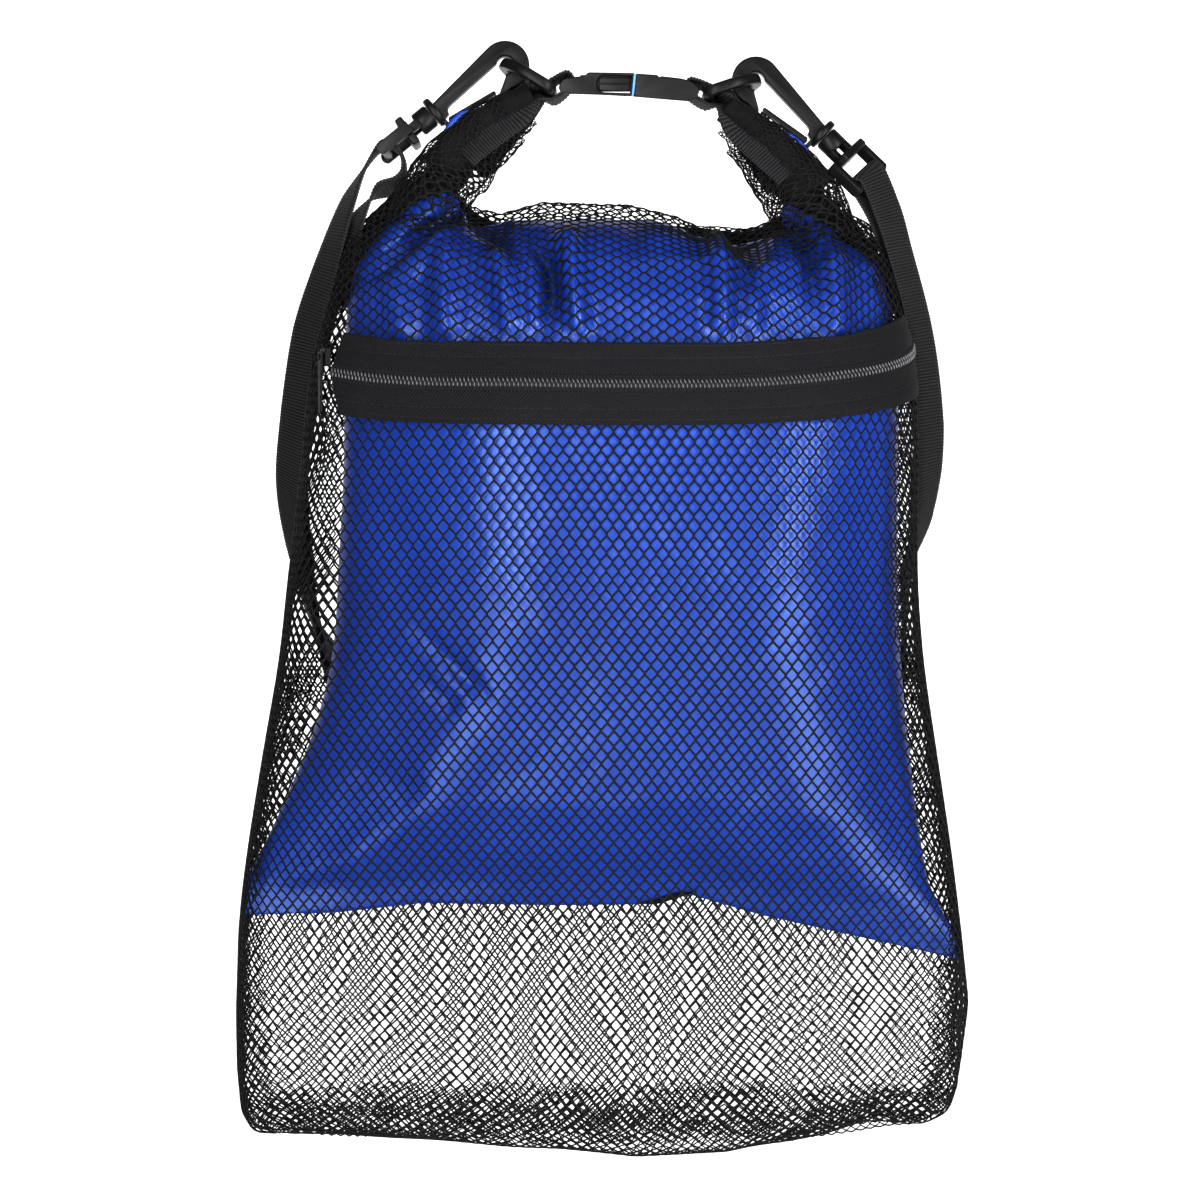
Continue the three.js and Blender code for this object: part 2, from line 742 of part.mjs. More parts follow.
// Places a piece drawn with x out of the net at the left end of the zip.
const SLIDER_STEP = 1;
const SLIDER_STAND = 2.2;
function atZipEnd(geometry) {
  const { point, normal } = netFront(SLIDER_STEP, zipLevel(SLIDER_STEP));
  const angle = Math.atan2(normal.y, normal.x);
  return geometry.rotateZ(angle).translate(point.x, point.y, point.z);
}

function zipSlider() {
  const body = box(SLIDER_STAND, SLIDER_STAND + 2.6, -4.2, 4.2, -3.6, 3.6);
  const pin = post(SLIDER_STAND + 2, SLIDER_STAND + 4.4, 0.9);
  return atZipEnd(geometryOf(union(body, pin)));
}

const PULL = { length: 26, half: 2.5, thick: 1, eye: 1.4 };
function zipPull() {
  const { length, half, thick, eye } = PULL;
  const shape = new THREE.Shape();
  shape.moveTo(-half, 2.2);
  shape.lineTo(-half * 0.7, 3.5 - length);
  shape.quadraticCurveTo(0, 1.6 - length, half * 0.7, 3.5 - length);
  shape.lineTo(half, 2.2);
  const hole = new THREE.Path();
  hole.absarc(0, 0, eye, 0, 2 * Math.PI, true);
  shape.holes.push(hole);
  const flat = plate(shape, thick, 0).rotateX(Math.PI / 2).rotateZ(Math.PI / 2);
  return atZipEnd(flat.translate(SLIDER_STAND + 2.6 + GAP + thick / 2, 0, 0));
}

function station(row) {
  return { middle: vec(row.x, row.y, row.z), across: vec(row.wx, row.wy, row.wz) };
}

// Directions along, across and out of the strap at a row of its run.
function runAxes(index) {
  const [before, after] = [STRAP_RUN[index - 1], STRAP_RUN[index + 1]];
  const along = vec(after.x - before.x, after.y - before.y, after.z - before.z).normalize();
  return { along, ...stripAxes(along, station(STRAP_RUN[index]).across) };
}

// Webbing round a strap bar: over its outer face, through the slot and back along its other face.
function barTurn(name, radius) {
  const turn = THREE.MathUtils.degToRad(HOOKS[name].turn);
  const frame = hookFrame(name);
  const face = vec(0, -Math.cos(turn), -Math.sin(turn)).transformDirection(frame);
  const wide = vec(0, -Math.sin(turn), Math.cos(turn)).transformDirection(frame);
  const into = vec(1, 0, 0).transformDirection(frame);
  const across = wide.y > 0 ? wide : wide.negate();
  const bar = vec(STRAP_BAR.along, 0, 0).applyMatrix4(frame);
  const at = (direction) => ({ middle: bar.clone().addScaledVector(direction, radius), across });
  const slant = face.clone().add(into).normalize();
  const away = into.clone().sub(face).normalize();
  return [at(face), at(slant), at(into), at(away), at(face.clone().negate())];
}

function shoulderStrap() {
  const { first, last, apart } = STRAP_DOUBLED;
  const doubled = [];
  for (let i = last; i >= first; i -= 1) {
    const { middle, across } = station(STRAP_RUN[i]);
    doubled.push({ middle: middle.addScaledVector(runAxes(i).normal, -apart), across });
  }
  const radius = STRAP_BAR.radius + GAP + WEB_THICK / 2;
  const leftTurn = barTurn('left', radius).slice(0, 3).reverse();
  const stations = [
    ...doubled,
    ...STRAP_SLACK.map(station),
    ...leftTurn,
    ...STRAP_RUN.map(station),
    ...barTurn('right', radius),
    ...STRAP_TAIL.map(station),
  ];
  return ribbon(stations, STRAP_SAMPLES);
}

// Plain sleeve-like slider round both layers of the strap where its slack end stops.
function strapSlider() {
  const { last, apart } = STRAP_DOUBLED;
  const { along, across, normal } = runAxes(last);
  const inside = WEB_THICK / 2 + GAP;
  const [low, high] = [-apart - inside, inside];
  const sleeve = solidOf(box(-3, 3, -13, 13, low - 2, high + 2));
  const window = solidOf(box(-5, 5, -10.9, 10.9, low - 0.9, high + 0.9));
  const matrix = new THREE.Matrix4().makeBasis(across, along, normal);
  const solid = geometryOf(sleeve.subtract(window)).rotateZ(-Math.PI / 2);
  return solid.applyMatrix4(matrix.setPosition(station(STRAP_RUN[last]).middle));
}

const bagPart = new THREE.Group();
function addPiece(name, geometry, colour, roughness) {
  const material = new THREE.MeshStandardMaterial({ color: COLOURS[colour], roughness });
  const mesh = new THREE.Mesh(geometry, material);
  mesh.name = name;
  bagPart.add(mesh);
}

const tapeNear = 2 * GAP;
const tapeFar = tapeNear + 0.8;

addPiece('mesh_bag', bag(NET_ROWS, 0, 0, 0, 1, [mouthRoll()]), 'net', 0.8);
addPiece('inner_bag', bag(CLOTH_ROWS, WALL + GAP, 1, 1, 0, []), 'cloth', 0.35);
addPiece('zip_tape_upper', zipStrip(0, ZIP_COIL + GAP, ZIP_TAPE, tapeNear, tapeFar), 'tape', 0.8);
addPiece('zip_tape_lower', zipStrip(0, -ZIP_TAPE, -ZIP_COIL - GAP, tapeNear, tapeFar), 'tape', 0.8);
addPiece('zip_coil', zipStrip(2, -ZIP_COIL, ZIP_COIL, tapeNear, tapeFar + 0.8), 'plastic', 0.4);
addPiece('zip_slider', zipSlider(), 'plastic', 0.4);
addPiece('zip_pull', zipPull(), 'plastic', 0.4);
addPiece('buckle_female', buckleFemale(), 'plastic', 0.4);
addPiece('buckle_male', buckleMale(), 'plastic', 0.4);
addPiece('shoulder_strap', shoulderStrap(), 'webbing', 0.8);
addPiece('strap_slider', strapSlider(), 'plastic', 0.4);
for (const name of ['left', 'right']) {
  addPiece(`tab_${name}`, tab(name), 'webbing', 0.8);
  addPiece(`ring_${name}`, ring(name), 'plastic', 0.4);
  addPiece(`hook_${name}`, hook(name), 'plastic', 0.4);
  addPiece(`gate_${name}`, gate(name), 'plastic', 0.4);
  addPiece(`swivel_${name}`, swivel(name), 'plastic', 0.4);
}

export default bagPart;
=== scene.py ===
"""Mesh dry bag: a black net round a stuffed blue bag, hanging from its buckled roll-top handle.

Sizes are in millimetres until a mesh is made; Blender's own unit is the metre.
"""
import math

import bmesh
import bpy
import numpy as np
from mathutils import Matrix, Vector


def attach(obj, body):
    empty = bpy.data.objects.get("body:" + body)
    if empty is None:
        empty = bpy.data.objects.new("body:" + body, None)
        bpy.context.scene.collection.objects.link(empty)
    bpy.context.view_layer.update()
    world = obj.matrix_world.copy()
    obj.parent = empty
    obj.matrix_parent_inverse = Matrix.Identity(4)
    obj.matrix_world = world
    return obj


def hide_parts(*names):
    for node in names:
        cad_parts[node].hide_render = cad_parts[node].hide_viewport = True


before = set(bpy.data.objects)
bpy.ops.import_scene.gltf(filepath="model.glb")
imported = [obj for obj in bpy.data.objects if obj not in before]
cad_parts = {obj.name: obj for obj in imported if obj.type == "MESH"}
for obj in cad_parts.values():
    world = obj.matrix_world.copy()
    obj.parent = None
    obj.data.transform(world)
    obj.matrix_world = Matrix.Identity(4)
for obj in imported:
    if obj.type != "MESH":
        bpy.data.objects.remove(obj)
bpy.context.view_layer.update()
bpy.context.scene.view_settings.view_transform = "Standard"
MM = 0.001


def table(columns, rows):
    """Named columns of numbers."""
    names = columns.split()
    return {name: np.array([row[i] for row in rows], float) for i, name in enumerate(names)}


# Directions
FRONT = np.array([0.0, -1.0, 0.0])
SIDES = {"left": -1, "right": 1}

# Sizes shared with the solids
WALL = 1.0
GAP = 0.4
WEB_WIDTH = 20
WEB_THICK = 1.4

# Sections of the net and of the blue bag, from the bottom up
NET_ROWS = table("z left right front back power", [
    (-442.6, -142, 121, 0.6, 0.6, 3.0),
    (-442.2, -147, 125, 5, 5, 3.2),
    (-437.5, -158, 134, 13, 12, 3.4),
    (-427, -163, 137.5, 25, 23, 3.4),
    (-409, -164.5, 139, 36, 33, 3.3),
    (-380, -165, 140.5, 45, 42, 3.2),
    (-350, -164, 139, 49.5, 45.5, 3.1),
    (-316, -160, 135, 52, 47, 2.9),
    (-266, -152, 127.5, 54, 48.5, 2.7),
    (-236, -146.5, 123, 55, 49, 2.6),
    (-200, -143, 120.5, 55.5, 49, 2.5),
    (-160, -138, 121.5, 55.5, 49, 2.45),
    (-127, -135.5, 121, 55.5, 48.5, 2.4),
    (-105, -132, 117.5, 54, 47, 2.35),
    (-87, -126.5, 114, 51, 44, 2.3),
    (-73, -123, 110.5, 45, 39, 2.25),
    (-63, -119, 106.5, 37, 33, 2.2),
    (-54, -114, 102, 26.5, 24, 2.1),
    (-47.5, -106, 90, 12, 12, 2.0),
    (-43, -96, 74, 4, 4, 2.0),
    (-42.4, -93, 71, 0.6, 0.6, 2.0),
])

CLOTH_ROWS = table("z left right front back power hem", [
    (-340.6, -160.5, 136.5, 0.5, 0.5, 2.0, 1),
    (-340, -161, 137, 1, 1, 2.0, 1),
    (-336, -161, 136.5, 3.4, 3, 2.0, 0.96),
    (-330, -160.5, 135, 7, 6, 2.0, 0.9),
    (-328, -160, 132, 8.5, 7.3, 2.0, 0.86),
    (-316, -154, 124, 19, 16.5, 2.05, 0.68),
    (-295, -144, 120, 32, 28, 2.1, 0.39),
    (-266, -131.5, 116, 43, 38, 2.2, 0),
    (-236, -123.5, 113.5, 48, 42, 2.3, 0),
    (-200, -122, 112.5, 53, 46, 2.35, 0),
    (-160, -119.5, 112.5, 53.8, 47, 2.35, 0),
    (-127, -119.5, 113, 53.8, 46.5, 2.3, 0),
    (-87, -118.5, 110, 48.8, 42, 2.25, 0),
    (-73, -115.5, 105.5, 42.8, 36.8, 2.2, 0),
    (-63, -110, 95, 34, 30, 2.15, 0),
    (-56, -100, 80, 21, 19, 2.05, 0),
    (-51.5, -76, 64, 7, 7, 2.0, 0),
    (-50.8, -72, 60, 0.6, 0.6, 2.0, 0),
])
# Share of the rows at the bottom and at the top that is softened less, and passes over the others
END_SHARE = 0.16
INNER_PASSES = 90
# Middle line from which arc lengths are measured
MIDDLE_X = -12
# Hem: its mean height, how far it hangs forward, and the height from which it does
HEM_LEVEL = -341.2
HEM_FORWARD = 11
HEM_FORWARD_FROM = -225
# Heights between which the cloth turns to a darker band above the hem, painted shade, with the tones of that
# painted shade
HEM_SHADE_HEIGHTS = (-345, -284)
HEM_SHADE_TONES = [(0, (0.74, 0.74, 0.76)), (0.45, (0.95, 0.95, 0.96)), (1, (1, 1, 1))]
# Shine of the blue cloth, from full to little as it turns to face up: painted shade on its top, with the two
# amounts
TOP_GLOSS_SHADE = (0.4, 0.8, 0.9, 0.06)
HEM = table("x z", [
    (-162, -343), (-123, -342), (-85, -338), (-30, -339), (6, -338.5), (25, -334.5), (55, -343), (136, -361),
])

# Folds of the stuffed front: soft ridges and valleys along lines, with the rise at each end
FOLDS = table("from_x from_z to_x to_z half from_rise to_rise", [
    (-116, -78, -102, -75, 4, 0, -8),
    (-102, -75, -88, -62, 4, -8, -12),
    (-88, -62, -70, -47, 4.5, -12, -9),
    (-104, -86, -78, -62, 7, 2, 6),
    (-68, -46, -54, -62, 4.5, -8, -7),
    (-54, -62, -42, -78, 4.5, -7, 0),
    (-46, -55, -33, -73, 4, 0, -8),
    (-33, -73, -31, -88, 4, -8, -6),
    (-31, -88, -35, -104, 4, -6, 0),
    (38, -54, 51, -69, 4.5, 0, -8),
    (51, -69, 44, -88, 4, -8, 0),
    (66, -50, 75, -70, 4.5, -9, -11),
    (75, -70, 75, -92, 4, -11, 0),
    (90, -60, 97, -84, 4, -7, 0),
    (-98, -80, -93, -99, 6, 4, 5.5),
    (-76, -68, -74, -99, 6, 5.5, 6.5),
    (-53, -72, -48, -99, 5, 5, 6),
    (-39, -84, -38, -99, 4, 2, 4),
    (-25, -66, -21, -99, 5, 6, 6.5),
    (2, -58, 5, -92, 6, -2, 0),
    (36, -64, 37, -99, 5, 5.5, 6.5),
    (50, -90, 49, -99, 4.5, 3, 4),
    (83, -72, 84, -99, 6, 6, 6.5),
    (98, -74, 103, -98, 5, 3, 0),
    (-50, -138, -46, -215, 28, 4, 4),
    (-46, -215, -62, -255, 24, 4, 5),
    (-62, -255, -86, -295, 18, 5, 5.5),
    (-86, -295, -114, -316, 10, 5.5, 5),
    (-114, -316, -150, -328, 6, 5, 2),
    (-108, -146, -92, -206, 12, -2, -2),
    (-96, -214, -64, -244, 3.5, 0, -4),
    (-64, -244, -54, -252, 3.5, -4, 0),
    (-104, -232, -72, -252, 3.5, 0, -3),
    (-132, -272, -92, -286, 7, -3, -3),
    (84, -136, 62, -190, 26, 4, 4.5),
    (62, -190, 64, -235, 26, 4.5, 4.5),
    (64, -235, 76, -288, 24, 4.5, 4.5),
    (76, -288, 102, -322, 16, 4.5, 3.5),
    (102, -322, 128, -346, 8, 3.5, 1.5),
    (104, -150, 96, -214, 9, -3, -3),
    (98, -250, 114, -312, 7, -2, -2),
])
# How far the net follows a valley before it bridges it
BRIDGE = 2.2
# Depth of a section under which folds fade out
FOLD_DEEP = 12

# Handle arms from tip to shoulder; inset moves the webbing behind them inward
ARM_COLUMNS = "x z half thick twist inset"
ARMS = {
    "left": table(ARM_COLUMNS, [
        (-39.5, -2.6, 9.6, 3, 62, 0),
        (-48.4, -8, 9.6, 3.6, 42, 2.4),
        (-57.6, -14.4, 10.2, 4.6, 22, 2.4),
        (-69, -26, 12.2, 7, 6, 1.5),
        (-79, -37, 13.5, 11, 0, 0),
        (-90, -62, 16, 20, 0, 0),
    ]),
    "right": table(ARM_COLUMNS, [
        (39.5, -6.8, 9.6, 3, 70, 0),
        (47, -13.6, 9.8, 3.6, 50, 2),
        (56, -21.8, 10.4, 4.6, 32, 2),
        (66.5, -34.5, 12.4, 7.5, 12, 1.5),
        (75, -46, 15, 12, 0, 0),
        (83, -68, 16, 20, 0, 0),
    ]),
}
# Stations between which an arm is drawn in at its shoulder, and by how much
ARM_DRAWN_AT = (3.4, 4.9)
ARM_DRAWN_IN = 3
TAIL_STATIONS = 4
# Place of the webbing sewn over the front of an arm, at its first stations
FRONT_TAIL = table("shift lean rise", [(0, 58, 0), (-1.4, 26, 1.2), (-1.4, 20, 1.2), (-1.2, 26, 0.5)])

# Rolled mouth behind the top
ROLL_HALF = 11
ROLL_THICK = 6
ROLL_DROP = 1.5
ROLL = table("x y z", [
    (-78, 9, -40), (-62, 24, -54), (-30, 29, -57), (0, 30, -57), (30, 29, -58), (52, 24, -60), (72, 9, -49),
])

# Zip band
ZIP_LEVEL = -125
ZIP_LEFT_RISE = 16
ZIP_RIGHT_RISE = 22
ZIP_TAPE = 16.5
ZIP_COIL = 2.6
TAPE_NEAR = 2 * GAP
TAPE_FAR = TAPE_NEAR + 0.8
# Ends of the zip as shares of the way across, by the height from its middle line
ZIP_ENDS = table("rise first last", [
    (-16.5, 0.132, 0.952), (-8, 0.118, 0.968), (0, 0.108, 0.978), (16.5, 0.118, 0.948),
])
ZIP_LONG = 286
ZIP_STEPS = 320
TOOTH_PITCH = 1.84
CORDS_PER_TOOTH = 1.3
STITCHED_LONG = 290
STITCH_PITCH = 2.6
# Heights of the cords and the rows of stitches from the middle line, and of the groove in each tape
CORD_RISES = (-2.9, -2.1, 2.1, 2.9)
STITCH_RISES = (-14.4, -10.2, 10.2, 15.2)
TAPE_GROOVE = 10.2
GROOVE_DEEP = 0.25
# From the solids of the slider and its pull to their dressed place
ZIP_SHIFT = (3.4, -14, 2)

# Net
MESH_ACROSS = 5.05
MESH_UP = 7.0
# Height of a mesh where the net is least stretched
SHORTEST_UP = 5.9
STEM_HALF = 0.7
STRAND_DEEP = 0.38
HOLE_ACROSS = 0.795
HOLE_UP = 0.805
SEAM_ROLL = 0.45
# Drift of the net along and up the bag: at rest, more of it low down, and the size of its waves
DRIFT_ALONG = (0.6, 0.8, 95)
DRIFT_UP = (0.5, 0.7, 110)
DRIFT_BELOW = 150
DRIFT_OVER = 100
LEAN_FROM = 200
# Lengths up the net between which it widens from gathered to full
WIDEN_AT = (130, 220)
# The empty bottom, where the net waves in and out between two heights, but not at the sides
LOOSE_BELOW = -335
LOOSE_BELOW_OVER = 40
LOOSE_ABOVE = -442
LOOSE_ABOVE_OVER = 14
STILL_EDGE = 25
STILL_WAVE = 0.15
LOOSE_WAVE = 2.0
LOOSE_SIZE = 60
# How open the holes are, by height
OPEN_AT = (-360, -330, -230, -180)
OPEN_BY = (0.99, 0.95, 0.96, 1.0)
# Where the net lies double: heights along the bottom, and the share of the way across at each side
DOUBLE_BOTTOM = (-437, -420)
DOUBLE_SIDES = table("z share", [
    (-440, 0.05), (-410, 0.07), (-345, 0.07), (-240, 0.1), (-120, 0.1), (-90, 0.09),
])
# Lift of the bottom edge along the bag: its sag and its tilt, with the height under which they come in
SAG = table("x lift", [
    (-165, 0), (-144, 6), (-125, 5), (-99, 3.5), (-63, 2), (-30, 0.5),
    (2, -2.5), (42, 0), (74, 5), (110, 5.5), (128, 4.5), (140, 3),
])
TILT = table("x lift", [(-165, 1), (-120, 2), (40, 0), (80, 3), (140, 8)])
SAG_FROM = -370
SAG_OVER = 60
# Lift of the top lines along the bag, with the height over which they come in
TOP_FROM = -74
TOP_OVER = 24
TOP_NET = table("x lift", [
    (-94, 0), (-64, -4), (-54, -7), (-36, -2), (0, -3), (20, -8), (31, -13), (42, -14), (54, -12), (66, -6),
    (90, 0),
])
TOP_CLOTH = table("x lift", [
    (-90, 0), (-62, -4), (-50, -1), (10, -1), (20, -4), (32, -10), (43, -12), (54, -10), (66, -5), (90, 0),
])
# Length up the net before and after the slack of its empty bottom
SLACK_FLAT = (-40, 205, 255, 305, 1305)
SLACK_UP = (-34, 173, 219.5, 269.5, 1329.5)
# Half length of the short upright strands of the net, at lengths up the flat net
STEM_AT = (190, 340)
STEM_HALVES = (0.2, 0.5)

# Buckle, rings and hooks
BUCKLE_MIDDLE = Vector((0, 0, 4.6))
BUCKLE_TILT = math.radians(3)
BUCKLE_BAR = 26.4
BUCKLE_BAR_HALF = 1.7
RING_WIRE = 2.3
RING_HALF = 14.3
# Middle of the bar and top of the bow of each ring
RINGS = {
    "left": (Vector((-33, 0, 1.5)), Vector((-52, 0, 13))),
    "right": (Vector((33.2, 0, -0.3)), Vector((53.2, 0, 6.4))),
}
CROOK_ALONG = 35.3
CROOK_ACROSS = 3.5
CROOK_INNER = 3.8
CROOK_OUTER = 10.2
HOOK_THICK = 6
GATE_ALONG = 3.6
GATE_ACROSS = 7.0
GATE_RADIUS = 1.3
STRAP_BAR_ALONG = -26
STRAP_BAR_RADIUS = 2
# Angle of each hook, the way it points along x, and the turn of its swivel, in degrees
HOOKS = {
    "left": {"angle": 39, "points": 1, "swivel": 0},
    "right": {"angle": 44, "points": -1, "swivel": -45},
}

# Shoulder strap: places, and the direction over its width, along the slack, the run and the tail
STRAP_COLUMNS = "x y z over_x over_y over_z"
STRAP_SLACK = table(STRAP_COLUMNS, [
    (-116, 0, -55, -0.55, 0.85, 0),
    (-109, 0, -43.4, -0.3, 0.95, -0.1),
    (-104, 0, -39.2, 0, 0.98, -0.2),
    (-98.2, 0, -37, 0, 0.98, -0.2),
    (-95, 0, -33, 0, 1, -0.1),
    (-94.6, 0, -27.2, 0, 1, 0),
    (-96.6, 0, -22.6, 0, 1, 0),
])
STRAP_RUN = table(STRAP_COLUMNS, [
    (-110, 0, -28.5, -0.15, 1, 0),
    (-117.4, 0, -42.5, -0.42, 0.9, 0),
    (-128, 1, -73, -0.62, 0.78, 0),
    (-135.4, 4, -98, -0.7, 0.71, 0),
    (-141, 9, -132, -0.7, 0.71, 0),
    (-144.4, 17, -160, -0.64, 0.77, 0),
    (-143, 35, -191, -0.5, 0.87, 0),
    (-137.5, 49, -222, -0.25, 0.9, 0.3),
    (-121, 57, -254, 0.45, 0.5, 0.75),
    (-98, 59.5, -284, 0.65, 0.15, 0.75),
    (-70, 60, -309, 0.5, 0, 0.87),
    (-35, 60, -325, 0.25, 0, 0.97),
    (0, 60, -330, 0, 0, 1),
    (35, 60, -322, -0.3, 0, 0.95),
    (68, 59.5, -303, -0.55, 0, 0.83),
    (96, 58, -276, -0.65, 0.2, 0.7),
    (118, 52, -247, -0.1, 0.8, 0.5),
    (120.6, 42, -222, 0.15, 0.97, 0.1),
    (120.4, 30, -198, 0.25, 0.97, 0),
    (126, 16, -176, 0.38, 0.92, 0),
    (127.4, 9, -158, 0.56, 0.83, 0),
    (127.2, 5, -138, 0.64, 0.77, 0),
    (122.8, 1, -100, 0.6, 0.8, 0),
    (113.4, -1, -64, 0.62, 0.78, 0),
    (108.6, -1.4, -48.5, 0.58, 0.74, 0.35),
])
STRAP_TAIL = table(STRAP_COLUMNS, [
    (106.2, 1.6, -50, 0.58, 0.74, 0.35),
    (110.4, 1.8, -64, 0.62, 0.78, 0),
    (116.4, 2.6, -84, 0.6, 0.8, 0),
])
# How far the inner layer of the doubled strap shows beside the outer one, from its top down
DOUBLED_SHOWS = (4.5, 2.5, 1)
DOUBLED_FIRST = 2
DOUBLED_LAST = 8
DOUBLED_APART = 2
RIB_PITCH = 1.34
RIB_RISE = 0.22
TAB_RIB_PITCH = 1.35
TAB_RIB_RISE = 0.24

# Blue corners that reach up into the arms, from the shoulder to the tip
TUBE_COLUMNS = "x z half deep"
CORNERS = {
    "left": table(TUBE_COLUMNS, [
        (-88, -82, 17, 20), (-87, -66, 23.5, 22), (-86, -54, 18, 14.5),
        (-83, -46, 11, 9), (-80, -40, 6, 5), (-78, -36, 1, 1),
    ]),
    "right": table(TUBE_COLUMNS, [
        (82, -88, 15, 19), (81, -72, 19.5, 22), (79, -60, 14.5, 14.5),
        (74, -52, 10, 9), (70, -46, 6, 5), (67, -41, 1, 1),
    ]),
}
# Bunched net that runs from each arm down the side of the bag
SIDE_ROLLS = {
    "left": table(TUBE_COLUMNS, [
        (-72, -27, 9, 7), (-82, -38, 9, 9), (-97, -47, 7, 8),
        (-109, -60, 5, 7), (-116, -73, 3.6, 6), (-120.5, -88, 2.4, 5),
    ]),
    "right": table(TUBE_COLUMNS, [
        (61, -27, 9, 7), (69, -38, 9, 9), (82, -50, 8, 9), (94.5, -61, 5.5, 8),
        (104.5, -73, 4, 7), (112, -87, 3, 6), (116, -97, 2, 5),
    ]),
}
# Slivers that show along the top of the arms, and a dark sliver in the gap of the hem that is painted shadow
SLIVER_COLUMNS = "x z half"
SLIVERS = {
    "blue_flap_left": table(SLIVER_COLUMNS, [
        (-77, -15.4, 1), (-73.4, -11.4, 2), (-70, -8, 1.6), (-66, -6.3, 0.4),
    ]),
    "blue_flap_right": table(SLIVER_COLUMNS, [
        (62.6, -14.6, 0.3), (67, -16.6, 0.8), (71.5, -19.8, 0.9), (76.4, -25.4, 0.4),
    ]),
    "hem_gap_shadow": table(SLIVER_COLUMNS, [
        (4, -337.4, 0.3), (12, -336.4, 1.1), (19, -334.2, 1.3), (28, -332.6, 0.3),
    ]),
}
SLIVER_THICK = 0.5

# Buckle outlines as pairs of x and z, seen from the front
SOCKET = [
    (-29.4, 3.6), (-28.9, 5.6), (-27.6, 7.2), (-26, 7.9), (-21.5, 8.3), (-18.6, 8.7), (-17.6, 9.6),
    (-16.8, 10.1), (1.9, 9.8), (0.9, 0.3), (-13.6, 1.0), (-27, 1.4), (-28.7, 2.0),
]
PLUG = [
    (2.9, 9.6), (11.6, 9.0), (12.4, 8.1), (13.3, 8.5), (21.4, 7.6), (24.2, 6.9), (26.6, 5.7),
    (28.4, 4.0), (29.1, 2.2), (28.5, 0.4), (26.9, -1.3), (25.3, -1.7), (18.2, -1.2), (1.9, 0.2),
]
WINDOW = [
    (1.0, 8.7), (-11, 8.9), (-12.6, 8.3), (-13.6, 6.8), (-13.8, 5),
    (-13.4, 3.4), (-12.2, 2.3), (-10.6, 1.9), (0.4, 1.6),
]
# A pale blue line along the joint of the two buckle halves, drawn as a thin plate.
PALE_SEAM = [(1.95, 9.6), (2.8, 9.5), (1.8, 0.4), (1.0, 0.5)]
CHEEK = 3.2
BUCKLE_HALF = 13
BUCKLE_ROLL = 10

# Studio: the paper in millimetres, the lights and the camera in metres
FLOOR_Z = -620
PAPER_FRONT = 250
PAPER_BACK = 1750
PAPER_HALF = 1800
PAPER_TOP = 1600
SWEEP_RADIUS = 600
LIGHT_AIM = Vector((0, 0, -0.2))
LIGHTS = table("x y z wide tall power", [
    (-0.47, -1.4, -0.45, 0.42, 2.0, 38),
    (0.95, -1.3, -0.45, 0.42, 2.0, 48),
    (0.0, -0.6, 1.3, 0.7, 0.7, 1.5),
])
CAMERA_AT = (-0.0122, -1.15, -0.2113)
SENSOR = 36
VIEW_WIDE = 0.504


# Materials
def add_node(tree, kind, **settings):
    """A shader node with its sockets and options set by name."""
    node = tree.nodes.new(kind)
    for name, value in settings.items():
        if name in node.inputs:
            node.inputs[name].default_value = value
        else:
            setattr(node, name, value)
    return node


def ramp(tree, factor, stops):
    """A colour ramp with the given stops, fed by a socket."""
    node = tree.nodes.new("ShaderNodeValToRGB")
    while len(node.color_ramp.elements) < len(stops):
        node.color_ramp.elements.new(0.5)
    for element, (place, colour) in zip(node.color_ramp.elements, stops):
        element.position = place
        element.color = (*colour, 1)
    tree.links.new(factor, node.inputs["Fac"])
    return node.outputs["Color"]


def two_tones(tree, factor, base, dark, light):
    """A colour between a darker and a lighter tone of a base."""
    return ramp(tree, factor, [(0.3, tuple(dark * c for c in base)), (0.7, tuple(light * c for c in base))])


def multiply(tree, first, second):
    """One colour times another."""
    mix = add_node(tree, "ShaderNodeMix", data_type="RGBA", blend_type="MULTIPLY")
    mix.inputs["Factor"].default_value = 1
    tree.links.new(first, mix.inputs[6])
    tree.links.new(second, mix.inputs[7])
    return mix.outputs[2]


def map_range(tree, value, ends):
    """Carries a socket over to a range: from low, from high, to low and to high."""
    node = tree.nodes.new("ShaderNodeMapRange")
    for key, end in zip(("From Min", "From Max", "To Min", "To Max"), ends):
        node.inputs[key].default_value = end
    tree.links.new(value, node.inputs["Value"])
    return node.outputs["Result"]


def upward(tree, vector):
    """The part of a vector that points up."""
    node = tree.nodes.new("ShaderNodeSeparateXYZ")
    tree.links.new(vector, node.inputs["Vector"])
    return node.outputs["Z"]


def surface(name, roughness, specular):
    """A new material with its tree, shader and texture coordinates."""
    material = bpy.data.materials.new(name)
    material.use_nodes = True
    tree = material.node_tree
    shader = tree.nodes["Principled BSDF"]
    shader.inputs["Roughness"].default_value = roughness
    shader.inputs["Specular IOR Level"].default_value = specular
    place = tree.nodes.new("ShaderNodeTexCoord")
    return material, tree, shader, place


def noise(tree, coordinate, scale, detail=3):
    node = add_node(tree, "ShaderNodeTexNoise", Scale=scale, Detail=detail)
    tree.links.new(coordinate, node.inputs["Vector"])
    return node.outputs["Fac"]


def bands(tree, coordinate, scale, turn):
    """Fine parallel lines at an angle on a piece's flat coordinates."""
    mapping = tree.nodes.new("ShaderNodeMapping")
    mapping.inputs["Rotation"].default_value = (0, 0, turn)
    tree.links.new(coordinate, mapping.inputs["Vector"])
    wave = add_node(tree, "ShaderNodeTexWave", Scale=scale, Distortion=0.4, wave_type="BANDS")
    tree.links.new(mapping.outputs["Vector"], wave.inputs["Vector"])
    return wave.outputs["Fac"]


